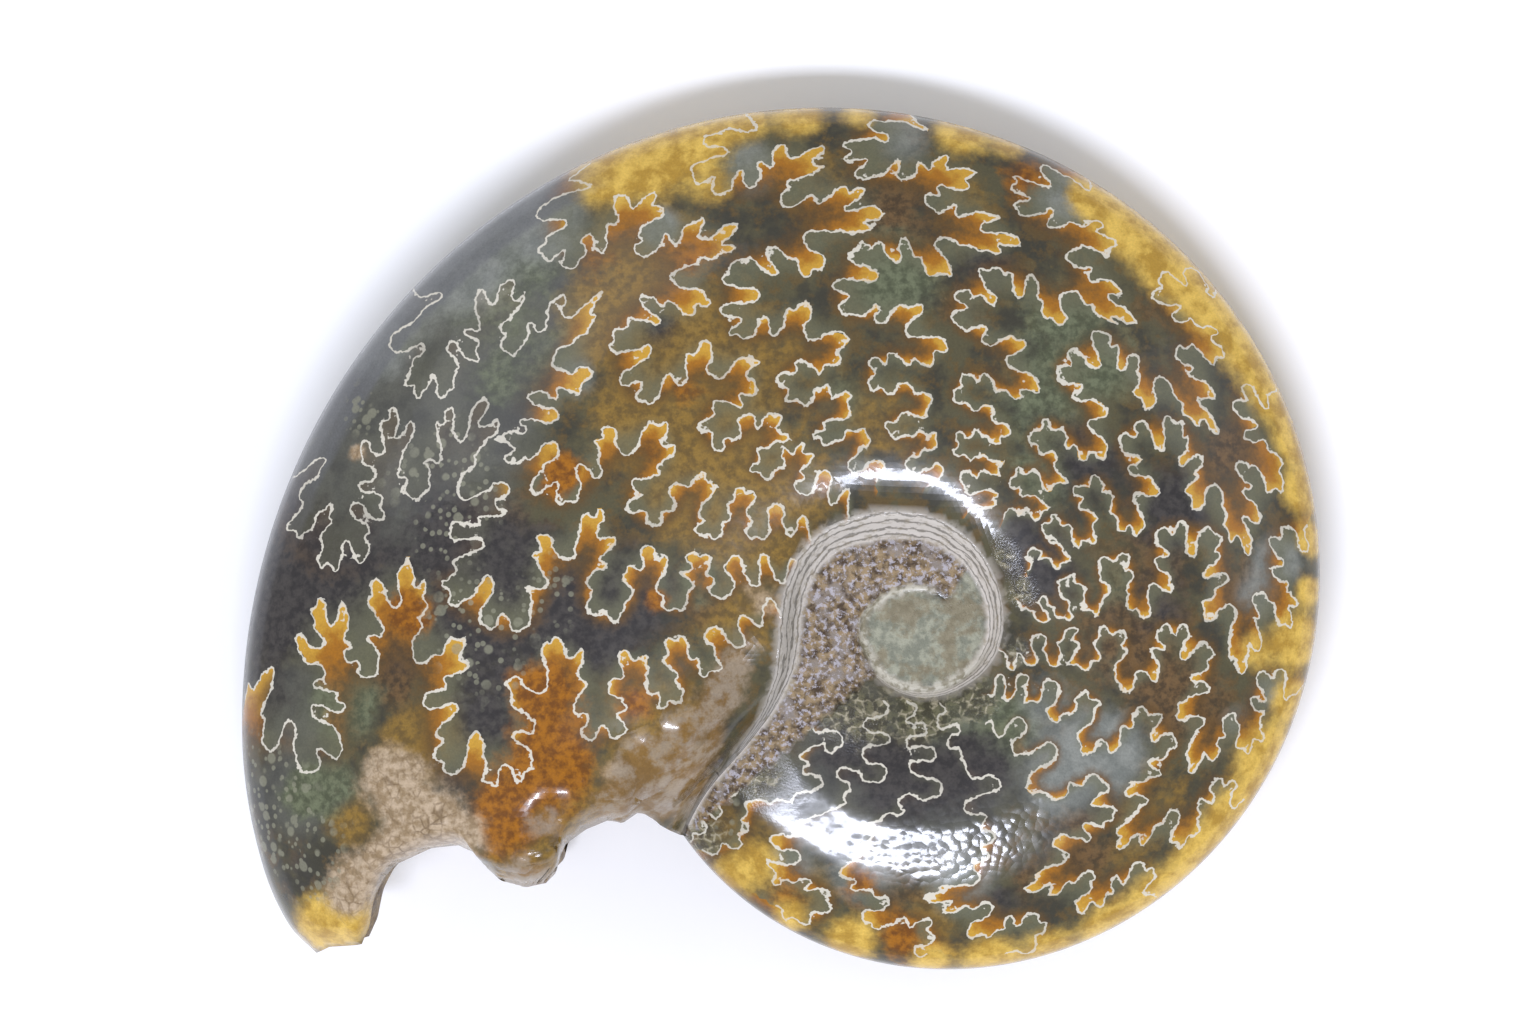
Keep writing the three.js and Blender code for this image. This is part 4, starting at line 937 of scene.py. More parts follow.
def assemble_shell(skin):
    """Corners, triangles and their corners' places on the texture of the whole shell"""
    count = len(skin.x)
    upper = np.stack((skin.x, skin.y, skin.z), axis=1)
    shared = np.zeros(count, bool)
    shared[skin.keel] = True
    lower_index = np.where(shared, np.arange(count), count + np.cumsum(~shared) - 1)
    lower = (upper * (1, 1, -1))[~shared]
    rows = broken_face(skin)
    start = count + len(lower)
    inner = len(skin.broken) - 2
    ids = [np.array(skin.broken)]
    for j in range(END_ROWS - 1):
        middle = start + j * inner + np.arange(inner)
        ids.append(np.concatenate(([skin.broken[0]], middle, [skin.broken[-1]])))
    ids.append(lower_index[skin.broken])
    points = np.vstack((upper, lower, rows[:, 1:-1].reshape(-1, 3)))
    end_faces = []
    for j in range(END_ROWS):
        for i in range(len(skin.broken) - 1):
            a, b = int(ids[j][i]), int(ids[j][i + 1])
            c, d = int(ids[j + 1][i]), int(ids[j + 1][i + 1])
            if len({b, a, c}) == 3:
                end_faces.append((b, a, c, i + 1, i, i, j, j, j + 1))
            if len({b, c, d}) == 3:
                end_faces.append((b, c, d, i + 1, i, i + 1, j, j + 1, j + 1))
    end_faces = np.array(end_faces)
    faces = np.vstack((skin.faces, lower_index[skin.faces][:, ::-1], end_faces[:, :3]))
    return points, faces, end_faces


def texture_places(skin, end_faces):
    """Where each corner lies on the texture: the upper side in one half, the lower in the other"""
    low = skin.map.min(0)
    size = skin.map.max(0) - low
    widest = 1 - 2 * TEXTURE_MARGIN
    tallest = 0.5 - 3 * TEXTURE_MARGIN
    scale = min(widest / size[0], tallest / size[1])
    flat = (skin.map - low) * scale + TEXTURE_MARGIN
    upper = flat[skin.faces] + (0, 0.5)
    lower = flat[skin.faces][:, ::-1]
    left = flat[:, 0].max() + 2 * TEXTURE_MARGIN
    columns = end_faces[:, 3:6] / end_faces[:, 3:6].max()
    rows = end_faces[:, 6:9] / END_ROWS
    end = np.stack((left + columns * (widest - left), 0.42 + 0.12 * rows), axis=2)
    return np.vstack((upper, lower, end))


# Zones of colour, as (pixel x, pixel y, spread in pixels, strength). In the cool zone the lobes
# have lost their amber.
ZONES = {
    "cool": (
        (420, 330, 95, 1), (330, 440, 80, 1), (440, 440, 65, 1), (350, 520, 50, 1),
        (470, 530, 50, 1), (530, 310, 55, 0.9), (500, 220, 60, 0.7), (300, 700, 40, 0.9),
        (970, 750, 60, 0.8), (860, 740, 60, 0.8), (1060, 600, 30, 0.3), (300, 790, 50, 0.8),
        (920, 800, 60, 0.8), (800, 800, 40, 0.6), (520, 440, 30, 0.6),
    ),
    "ochre": (
        (640, 240, 60, 0.8), (600, 320, 45, 0.8), (690, 330, 60, 0.7), (640, 420, 60, 0.8),
        (740, 430, 60, 0.8), (700, 500, 60, 0.9), (790, 500, 50, 0.8), (780, 350, 50, 0.5),
        (880, 420, 50, 0.6), (820, 180, 50, 0.5), (960, 200, 50, 0.5), (1000, 380, 50, 0.3),
        (430, 740, 50, 0.9), (360, 820, 30, 0.8), (660, 720, 60, 0.9), (740, 620, 40, 0.9),
        (740, 860, 50, 0.8), (700, 820, 40, 0.4), (920, 930, 60, 0.6), (1150, 800, 60, 0.5),
        (1190, 560, 30, 0.4), (1120, 860, 40, 0.4), (800, 890, 40, 0.7), (560, 790, 60, 0.8),
        (530, 865, 40, 1), (600, 830, 35, 0.9), (1140, 650, 40, 0.4), (760, 540, 40, 0.8),
    ),
    "brown": (
        (1120, 640, 60, 0.7), (1180, 700, 50, 0.8), (1140, 560, 50, 0.6), (1230, 450, 40, 0.7),
        (1250, 590, 40, 0.7), (1170, 300, 40, 0.7), (890, 220, 50, 0.7), (960, 310, 40, 0.5),
        (400, 680, 35, 0.7), (1080, 840, 40, 0.7), (1210, 740, 30, 0.5), (890, 890, 50, 0.5),
        (700, 590, 40, 0.5), (520, 520, 40, 0.5), (1030, 880, 40, 0.5), (1120, 910, 30, 0.8),
    ),
    "green": (
        (890, 280, 50, 0.9), (1060, 320, 60, 0.6), (1100, 370, 40, 0.6), (1030, 400, 50, 0.6),
        (1040, 480, 40, 0.6), (1110, 580, 40, 0.5), (530, 240, 60, 0.7), (480, 300, 50, 0.5),
        (560, 350, 40, 0.4), (350, 700, 38, 1), (310, 790, 30, 0.8), (520, 570, 30, 0.5),
        (700, 580, 25, 0.7), (1000, 720, 50, 0.7), (920, 720, 50, 0.6), (840, 400, 30, 0.5),
        (340, 780, 26, 0.8), (500, 380, 40, 0.5),
    ),
    "grey": (
        (1100, 750, 45, 1), (1050, 780, 40, 0.7), (960, 880, 40, 0.7), (860, 870, 35, 0.8),
        (750, 170, 30, 0.9), (660, 230, 22, 1), (1060, 200, 32, 1), (900, 140, 40, 0.6),
        (545, 220, 45, 1), (460, 270, 50, 1), (380, 340, 45, 0.9), (1275, 560, 30, 0.9),
        (1250, 600, 25, 0.7), (1270, 690, 25, 0.7), (790, 860, 25, 0.8), (1040, 700, 40, 0.5),
        (580, 380, 25, 0.6), (1230, 720, 20, 0.6), (400, 310, 30, 0.5), (640, 780, 30, 0.4),
    ),
    "dark": (
        (300, 590, 90, 0.9), (270, 500, 50, 0.7), (420, 590, 70, 0.6), (580, 620, 60, 1),
        (640, 590, 45, 0.8), (480, 630, 60, 0.7), (530, 550, 45, 0.6), (460, 520, 50, 0.6),
        (1165, 510, 45, 0.9), (1080, 460, 45, 0.7), (980, 270, 35, 0.7), (1040, 570, 45, 0.7),
        (900, 775, 50, 0.9), (970, 765, 45, 0.8), (1222, 800, 24, 1), (940, 125, 25, 0.5),
        (1150, 600, 40, 0.6), (660, 330, 25, 0.7), (1000, 900, 25, 0.7), (1100, 800, 30, 0.5),
        (500, 710, 40, 0.8), (840, 740, 40, 0.7), (1020, 540, 30, 0.6), (300, 870, 30, 0.5),
        (250, 700, 40, 0.8), (460, 770, 30, 0.6),
    ),
    "orange": (
        (550, 690, 35, 1), (560, 760, 45, 1), (510, 810, 40, 1), (415, 610, 26, 0.9),
        (640, 700, 20, 0.8), (565, 475, 24, 0.9), (900, 935, 30, 0.7), (1020, 180, 30, 0.6),
        (790, 895, 25, 0.6), (860, 880, 25, 0.5), (650, 450, 20, 0.5), (600, 270, 30, 0.4),
        (700, 260, 30, 0.5), (660, 600, 14, 0.7), (690, 395, 22, 0.5),
    ),
    # gold: golden calcite, and along the outline also a painted glow where light shines through the
    # thin calcite at the keel
    "gold": (
        (650, 155, 48, 1), (700, 135, 30, 1), (600, 175, 34, 0.9), (715, 190, 26, 0.5),
        (745, 118, 26, 0.9), (800, 115, 26, 0.9), (860, 112, 22, 0.7), (960, 130, 30, 0.9),
        (1010, 140, 24, 0.7), (1090, 195, 26, 1), (1130, 225, 36, 1), (1170, 265, 36, 1),
        (1210, 300, 34, 1), (1250, 345, 36, 1), (1275, 395, 30, 1), (1295, 440, 24, 1),
        (1303, 490, 26, 1), (1312, 540, 18, 1), (1308, 590, 16, 0.9), (1297, 640, 30, 1),
        (1250, 650, 24, 0.6), (1290, 700, 22, 0.9), (1270, 760, 40, 1), (1235, 820, 34, 1),
        (1205, 860, 34, 1), (1160, 900, 34, 1), (1110, 930, 30, 1), (1050, 955, 30, 0.9),
        (990, 960, 30, 0.9), (930, 962, 24, 0.8), (850, 940, 30, 0.9), (790, 915, 20, 0.8),
        (760, 860, 30, 0.6), (330, 922, 36, 1), (370, 905, 26, 0.8), (730, 875, 24, 0.6),
    ),
    "pale": (
        (400, 775, 34, 1), (440, 815, 36, 1), (470, 830, 26, 0.8), (370, 870, 34, 0.7),
        (410, 840, 30, 0.7), (620, 770, 30, 0.5), (690, 770, 34, 0.5), (360, 452, 9, 0.9),
        (760, 600, 26, 0.5), (350, 890, 24, 0.7),
    ),
    "specks": (
        (370, 410, 28, 0.8), (455, 460, 38, 1), (470, 500, 34, 1), (440, 540, 28, 0.8),
        (480, 620, 52, 0.9), (560, 590, 44, 0.6), (500, 670, 40, 0.5), (290, 430, 50, 0.3),
        (285, 820, 52, 1), (262, 770, 34, 0.9), (320, 860, 40, 0.7), (720, 810, 26, 1),
        (400, 480, 34, 0.5), (700, 830, 24, 0.9),
    ),
    "grains": (
        (810, 690, 30, 1), (860, 715, 30, 1), (920, 715, 30, 0.9), (975, 700, 24, 0.9),
        (1012, 650, 16, 0.7), (1015, 590, 16, 0.7), (1000, 555, 14, 0.6), (760, 770, 30, 0.7),
        (705, 835, 26, 0.8),
    ),
    # lumps: golden-brown crystal lumps, whose paler grey mottle partly paints their glints
    "lumps": (
        (722, 690, 22, 1), (690, 740, 28, 1), (645, 757, 26, 1), (620, 795, 26, 1),
        (535, 868, 26, 0.9), (548, 812, 18, 0.8), (660, 800, 24, 0.8), (600, 830, 20, 0.7),
        (700, 790, 20, 0.8), (700, 730, 26, 0.9), (670, 780, 26, 0.9), (735, 660, 20, 0.7),
    ),
    "pebbles": (
        (970, 840, 50, 1), (920, 850, 40, 1), (1020, 815, 30, 0.8), (870, 840, 30, 0.5),
    ),
}

# Tones between two colours each. The zones' tones are laid over one another in this order.
LAYERS = {
    "ochre": ("665026", "886a2c"), "brown": ("43331f", "6b5131"), "green": ("4a4f3a", "696f55"),
    "grey": ("6d706a", "84867f"), "dark": ("2b2829", "403c3a"), "orange": ("6e3f02", "9c6106"),
    # The gold tone is partly the calcite's own colour and partly a painted glow of light through the
    # thin keel
    "gold": ("ad8730", "dcb755"), "pale": ("907a5c", "b9a489"),
}
TONES = {
    **LAYERS,
    "stone": ("37352b", "504b34"), "cold stone": ("42423e", "57574f"),
    "grains": ("3f3a28", "6f6a4c"), "lumps": ("82602e", "9c8c78"),
    # The lumps tone runs from the lumps' own golden brown to a paler grey that partly paints their
    # glints
    "floor": ("4a3a29", "a08a68"), "fill": ("7f8171", "a5a591"), "rim": ("8f8872", "cdc8b8"),
    "broken": ("4c3a26", "8d7450"),
}
COLOURS = {
    # bevel is the grey of a painted reflection on the polished bevel along the keel
    "warm stone": "5f4a25", "bevel": "66676a", "dull saddle": "45483a", "lobe": "5e421b",
    "speck": "8b8a75", "crack": "6b563c", "grain edge": "b5ab92", "wall shade": "8a847a",
    "wall stain": "8d8168", "floor stain": "8f857c", "glitter": "c6c2cc", "fill stain": "7d6d4f",
    "broken middle": "b79f78",
}


def linear(code):
    """A colour for a shader from a code such as "d9cfb8" """
    parts = [int(code[i:i + 2], 16) / 255 for i in (0, 2, 4)]
    return (*(c / 12.92 if c < 0.04045 else ((c + 0.055) / 1.055) ** 2.4 for c in parts), 1)


def colour(name):
    return linear(COLOURS[name])


def put(tree, sockets, values):
    """Gives each socket its value: a link where the value is a socket, or else a plain value"""
    for name, value in values.items():
        if isinstance(value, bpy.types.NodeSocket):
            tree.links.new(value, sockets[name])
        else:
            sockets[name].default_value = value


def add_node(tree, kind, inputs=None, **settings):
    made = tree.nodes.new(kind)
    for name, value in settings.items():
        setattr(made, name, value)
    put(tree, made.inputs, inputs or {})
    return made


def maths(tree, operation, first, second=0.0, clamp=False):
    made = add_node(tree, "ShaderNodeMath", {0: first, 1: second}, operation=operation)
    made.use_clamp = clamp
    return made.outputs[0]


def remap(tree, value, from_low, from_high, to_low=0.0, to_high=1.0, smooth=True):
    inputs = {"Value": value, "From Min": from_low, "From Max": from_high,
              "To Min": to_low, "To Max": to_high}
    kind = "SMOOTHSTEP" if smooth else "LINEAR"
    return add_node(tree, "ShaderNodeMapRange", inputs, interpolation_type=kind).outputs[0]


def blend(tree, share, first, second, way="MIX"):
    inputs = {0: share, 6: first, 7: second}
    return add_node(tree, "ShaderNodeMix", inputs, data_type="RGBA", blend_type=way).outputs[2]


def tone(tree, name, mask, low, high):
    """The tone of a name, which turns from its first colour to its second as a mask rises"""
    first, second = TONES[name]
    return blend(tree, remap(tree, mask, low, high), linear(first), linear(second))


def noise(tree, place, scale, detail=3.0, roughness=0.55):
    inputs = {"Vector": place, "Scale": scale, "Detail": detail, "Roughness": roughness}
    return add_node(tree, "ShaderNodeTexNoise", inputs).outputs["Fac"]


def new_group(name, ins, outs):
    """An empty node group with its sockets, and its input and output nodes"""
    tree = bpy.data.node_groups.new(name, "ShaderNodeTree")
    for sockets, way in ((ins, "INPUT"), (outs, "OUTPUT")):
        for socket, form in sockets:
            tree.interface.new_socket(socket, in_out=way, socket_type="NodeSocket" + form)
    return tree, tree.nodes.new("NodeGroupInput").outputs, tree.nodes.new("NodeGroupOutput").inputs


def grey(tree, value):
    return add_node(tree, "ShaderNodeCombineColor", {0: value, 1: value, 2: value}).outputs[0]


def cells(tree, place, scale, feature="F1"):
    """Round cells: distance from the middle or the edge of a cell, and a chance of each cell"""
    inputs = {"Vector": place, "Scale": scale, "Randomness": 0.9}
    made = add_node(tree, "ShaderNodeTexVoronoi", inputs, feature=feature)
    if feature != "F1":
        return made.outputs["Distance"], None
    chance = add_node(tree, "ShaderNodeSeparateColor", {0: made.outputs["Color"]}).outputs[0]
    return made.outputs["Distance"], chance


def specks(tree, place, scale, size, kept):
    """Round spots a little apart, of which a share is kept"""
    distance, chance = cells(tree, place, scale)
    spot = remap(tree, distance, size * 0.7, size, 1.0, 0.0)
    return maths(tree, "MULTIPLY", spot, maths(tree, "LESS_THAN", chance, kept))


def crystal_grain_group():
    """Grain of the stone, which darkens and lightens a colour and gives a height"""
    if "Crystal grain" in bpy.data.node_groups:
        return bpy.data.node_groups["Crystal grain"]
    ins = [("Color", "Color"), ("Place", "Vector"), ("Scale", "Float"), ("Contrast", "Float")]
    tree, given, out = new_group("Crystal grain", ins, [("Color", "Color"), ("Height", "Float")])
    grain = noise(tree, given["Place"], given["Scale"], 3.0, 0.6)
    low = maths(tree, "SUBTRACT", 1.0, given["Contrast"])
    high = maths(tree, "ADD", 1.0, given["Contrast"])
    shade = remap(tree, grain, 0.25, 0.75, low, high, smooth=False)
    tree.links.new(blend(tree, 1.0, given["Color"], grey(tree, shade), "MULTIPLY"), out["Color"])
    tree.links.new(grain, out["Height"])
    return tree


def grained(tree, stone, place, scale, contrast):
    """A colour with the grain of the stone in it, and the grain's height"""
    inputs = {"Color": stone, "Place": place, "Scale": scale, "Contrast": contrast}
    made = add_node(tree, "ShaderNodeGroup", inputs, node_tree=crystal_grain_group())
    return made.outputs["Color"], made.outputs["Height"]


def attribute(tree, name):
    return add_node(tree, "ShaderNodeAttribute", attribute_name=name).outputs["Fac"]


def new_material(name):
    material = bpy.data.materials.new(name)
    material.use_nodes = True
    tree = material.node_tree
    tree.nodes.clear()
    shader = tree.nodes.new("ShaderNodeBsdfPrincipled")
    end = tree.nodes.new("ShaderNodeOutputMaterial")
    tree.links.new(shader.outputs[0], end.inputs["Surface"])
    return material, tree, shader.inputs


def millimetre_place(tree):
    place = tree.nodes.new("ShaderNodeTexCoord").outputs["Object"]
    inputs = {0: place, "Scale": 1 / MM}
    return add_node(tree, "ShaderNodeVectorMath", inputs, operation="SCALE").outputs[0]


def times(tree, first, *others):
    for other in others:
        first = maths(tree, "MULTIPLY", first, other)
    return first


def highest(tree, first, *others):
    for other in others:
        first = maths(tree, "MAXIMUM", first, other)
    return first


def near(tree, zone, ragged):
    """Share of a zone with a ragged edge"""
    share = remap(tree, maths(tree, "ADD", zone, ragged), 0.2, 0.7)
    return times(tree, share, remap(tree, zone, 0.02, 0.3))


class Stone:
    """The nodes that colour the polished stone: the chambers, the lines and the umbilicus"""

    def __init__(self, tree, settings):
        self.tree = tree
        self.settings = settings
        self.place = millimetre_place(tree)
        moved = add_node(tree, "ShaderNodeVectorMath", {0: self.place, 1: (31.0, 17.0, 5.0)})
        self.cloud = noise(tree, self.place, 0.22, 4.0, 0.62)
        self.patch = noise(tree, moved.outputs[0], 0.5, 4.0, 0.65)
        self.fine = noise(tree, self.place, 1.4, 3.0, 0.6)
        self.ragged = times(tree, maths(tree, "SUBTRACT", self.patch, 0.5), 0.9)
        self.slight = times(tree, maths(tree, "SUBTRACT", self.fine, 0.5), 0.3)
        self.edge, _ = cells(tree, self.place, 1.1, "DISTANCE_TO_EDGE")
        cool = remap(tree, attribute(tree, "cool"), 0.1, 0.6, 0.0, 0.97)
        self.warm = maths(tree, "SUBTRACT", 1.0, cool)

    def chambers(self):
        """Clouded body colours with the zones over them, and the lobes under the last zones"""
        tree = self.tree
        stone = tone(tree, "stone", self.cloud, 0.42, 0.58)
        share = remap(tree, self.patch, 0.48, 0.62, 0.0, 0.7)
        stone = blend(tree, times(tree, share, self.warm), stone, colour("warm stone"))
        cold = tone(tree, "cold stone", self.cloud, 0.35, 0.65)
        stone = blend(tree, self.warm, cold, stone)
        # Of these layers, gold is partly a painted glow of light through the thin calcite along the
        # keel
        for name in LAYERS:
            zone = attribute(tree, name)
            smooth = name in ("gold", "grey")
            share = near(tree, zone, self.slight if smooth else self.ragged)
            mottle = self.patch if smooth else self.fine
            stone = blend(tree, share, stone, tone(tree, name, mottle, 0.36, 0.64))
            if name == "dark":
                stone = self.lobes(stone)
        # Painted reflection: a grey band inside the outline stands for the light on the keel's polished
        # bevel
        return blend(tree, times(tree, attribute(tree, "bevel"), 0.7), stone, colour("bevel"))

    def lobes(self, stone):
        """Grey-green saddles, and lobes that turn from brown to amber to gold at their tips"""
        tree = self.tree
        settings = self.settings
        traced = attribute(tree, "traced")
        bay = remap(tree, maths(tree, "ADD", attribute(tree, "bay"), self.slight), 0.12, 0.5)
        bay = times(tree, bay, traced)
        saddle = (*settings.saddle_colour, 1)
        share = remap(tree, self.fine, 0.3, 0.7, 0.0, 0.35)
        green = blend(tree, share, saddle, colour("dull saddle"))
        stone = blend(tree, times(tree, bay, remap(tree, self.warm, 0.0, 1.0, 0.3, 0.7)), stone, green)
        tip = maths(tree, "ADD", attribute(tree, "tip"), self.slight)
        amber = (*settings.amber_colour, 1)
        gold = (*settings.gold_colour, 1)
        for low, high, most, hue in (
            (0.08, 0.36, 0.85, colour("lobe")), (0.28, 0.52, 1.0, amber), (0.52, 0.78, 0.9, gold),
        ):
            share = times(tree, remap(tree, tip, low, high, 0.0, most), self.warm, traced)
            stone = blend(tree, share, stone, hue)
        edge = remap(tree, attribute(tree, "behind"), 0.05, 0.8, 0.8, 0.0)
        share = times(tree, edge, remap(tree, tip, 0.48, 0.64), self.warm,
                      remap(tree, attribute(tree, "line"), 0.8, 1.0, 1.0, 0.0))
        return blend(tree, share, stone, gold)

    def speckled(self, stone):
        """Small pale rounds in clusters, and crystals with pale edges round the umbilicus"""
        tree = self.tree
        zone = near(tree, attribute(tree, "specks"), self.ragged)
        spots = highest(tree, *(specks(tree, self.place, scale, 0.42, 0.5) for scale in (0.8, 1.6)))
        stone = blend(tree, times(tree, spots, zone, 0.6), stone, colour("speck"))
        net = remap(tree, self.edge, 0.02, 0.12, 1.0, 0.0)
        cracks = times(tree, net, attribute(tree, "pale"), remap(tree, self.patch, 0.4, 0.6))
        stone = blend(tree, times(tree, cracks, 0.7), stone, colour("crack"))
        grains = near(tree, attribute(tree, "grains"), self.ragged)
        stone = blend(tree, times(tree, grains, 0.8), stone, tone(tree, "grains", self.fine, 0.4, 0.6))
        edges = times(tree, grains, net, remap(tree, self.fine, 0.42, 0.6), 0.75)
        stone = blend(tree, edges, stone, colour("grain edge"))
        # The glossy lumps: golden brown, mottled with a paler grey that partly paints their glints
        lumps = near(tree, attribute(tree, "lumps"), self.ragged)
        return blend(tree, times(tree, lumps, 0.75), stone, tone(tree, "lumps", self.patch, 0.4, 0.6))

    def line(self):
        """The suture line, thin and finely uneven"""
        tree = self.tree
        wobble = noise(tree, self.place, 1.5, 2.0, 0.6)
        wobble = times(tree, maths(tree, "SUBTRACT", wobble, 0.5), 0.75)
        apical = maths(tree, "ABSOLUTE", maths(tree, "SUBTRACT", attribute(tree, "ahead"), wobble))
        mouthward = maths(tree, "ABSOLUTE", maths(tree, "ADD", attribute(tree, "behind"), wobble))
        away = maths(tree, "MINIMUM", apical, mouthward)
        width = self.settings.line_width / MM / 2
        half = remap(tree, self.fine, 0.3, 0.7, width * 0.3, width * 1.3, smooth=False)
        mark = remap(tree, maths(tree, "SUBTRACT", away, half), 0.0, 0.05, 1.0, 0.0)
        traced = remap(tree, attribute(tree, "line"), 0.4, 0.5, 1.0, 0.0)
        return times(tree, mark, traced, remap(tree, self.cloud, 0.3, 0.6, 0.6, 0.95))

    def umbilicus(self, stone):
        """Striped wall, brown grainy floor between the turns, and grey fill with a pale rim"""
        tree = self.tree
        bent = maths(tree, "ADD", attribute(tree, "across"), times(tree, self.patch, 0.5))
        stripes = maths(tree, "SINE", times(tree, bent, 26.0))
        pale = (*self.settings.wall_colour, 1)
        bands = blend(tree, remap(tree, stripes, -1.0, -0.2), colour("wall shade"), pale)
        bands = blend(tree, remap(tree, self.fine, 0.5, 0.7, 0.0, 0.6), bands, colour("wall stain"))
        stone = blend(tree, attribute(tree, "wall"), stone, bands)
        ground = tone(tree, "floor", self.fine, 0.35, 0.65)
        ground = blend(tree, remap(tree, self.patch, 0.5, 0.65), ground, colour("floor stain"))
        glitter = remap(tree, noise(tree, self.place, 2.4, 3.0, 0.7), 0.5, 0.62)
        ground = blend(tree, times(tree, glitter, 0.7), ground, colour("glitter"))
        stone = blend(tree, attribute(tree, "floor"), stone, ground)
        matte = tone(tree, "fill", self.fine, 0.35, 0.65)
        stain = times(tree, remap(tree, self.patch, 0.45, 0.6), 0.6)
        matte = blend(tree, stain, matte, colour("fill stain"))
        stone = blend(tree, attribute(tree, "fill"), stone, matte)
        return blend(tree, attribute(tree, "rim"), stone, tone(tree, "rim", self.fine, 0.4, 0.6))

    def relief(self, grain):
        """Height in millimetres: an uneven polish, lumps, pebbles and the grainy umbilicus"""
        tree = self.tree
        wavy = noise(tree, self.place, 0.8, 1.0)
        parts = [attribute(tree, "easing"), times(tree, wavy, 0.02)]
        pebble, _ = cells(tree, self.place, 1.3)
        parts.append(times(tree, pebble, attribute(tree, "pebbles"), -0.035))
        lump, _ = cells(tree, self.place, 0.28)
        parts.append(times(tree, lump, attribute(tree, "lumps"), -1.1))
        dull = highest(tree, *(attribute(tree, name) for name in ("floor", "fill", "grains")))
        parts.append(times(tree, grain, dull, 0.12))
        total = parts[0]
        for part in parts[1:]:
            total = maths(tree, "ADD", total, part)
        return total


def polished_material(settings):
    material, tree, shader = new_material("polished ammonite")
    stone = Stone(tree, settings)
    hue, grain = grained(tree, stone.speckled(stone.chambers()), stone.place, 6.0, 0.14)
    hue = blend(tree, stone.line(), hue, (*settings.line_colour, 1))
    dull = highest(tree, *(attribute(tree, name) for name in ("wall", "floor", "fill")))
    inputs = {"Height": stone.relief(grain), "Strength": 1.0, "Distance": MM}
    normal = add_node(tree, "ShaderNodeBump", inputs).outputs[0]
    put(tree, shader, {
        "Base Color": stone.umbilicus(hue),
        "Roughness": remap(tree, dull, 0.0, 1.0, settings.polish_roughness, 0.6, smooth=False),
        "Specular IOR Level": 0.35,
        "Coat Weight": remap(tree, dull, 0.0, 1.0, settings.coat, 0.05, smooth=False),
        "Coat Roughness": 0.05,
        "Normal": normal,
        "Coat Normal": normal,
    })
    return material


def broken_material():
    material, tree, shader = new_material("broken crystal")
    place = millimetre_place(tree)
    middle, _ = cells(tree, place, 0.7)
    hue = tone(tree, "broken", noise(tree, place, 1.5, 4.0, 0.65), 0.3, 0.7)
    hue = blend(tree, remap(tree, middle, 0.2, 0.9, 0.6, 0.0), hue, colour("broken middle"))
    hue, grain = grained(tree, hue, place, 4.0, 0.25)
    height = maths(tree, "ADD", middle, times(tree, grain, 0.5))
    inputs = {"Height": height, "Strength": 0.6, "Distance": MM}
    normal = add_node(tree, "ShaderNodeBump", inputs).outputs[0]
    put(tree, shader, {"Base Color": hue, "Roughness": 0.4, "Normal": normal})
    return material


def doubled(values, shared):
    """Values of the upper side, then the same for the points of the lower side"""
    return np.concatenate((values, values[~shared]))


def rim_share(angle, outward):
    """Share of the pale rim round the grey fill, which ends at the fill's open side"""
    band = smoothstep(outward, -0.25, -0.1) * (1 - smoothstep(outward, 0.25, 0.5))
    return band * (1 - smoothstep(angle, -60, -10) * (1 - smoothstep(angle, 70, 95)))


def bevel_reflection_share(angle, radius):
    """Share of the darker band that runs inside the outline at the upper left: a painted reflection on
    the polished bevel along the keel
    """
    start, full, fading, end = BEVEL_ANGLES
    along = smoothstep(angle, start, full) * (1 - smoothstep(angle, fading, end))
    inwards = keel_radius(angle) - radius
    return along * (1 - smoothstep(inwards, BEVEL_WIDTH - BEVEL_SOFTNESS, BEVEL_WIDTH))


def eased_height(angle, share):
    """Height that the shading adds: it levels the growth of the whorl, and keeps the shoulder
    round the umbilicus flat for longer before it rolls over"""
    top = half_width(angle)
    wall = wall_share(angle)
    crest = crest_share(angle)
    run = np.clip((share - crest) / (wall - crest), 0, 1)
    kept = 1 - smoothstep(angle, *EASED_UP_TO)
    level = lerp(top, half_width(MOUTH_ANGLE - TURN), smoothstep(share, wall, 1))
    return top * (1 - shoulder_share(angle)) * (run ** 2 - run ** 4) * kept - level


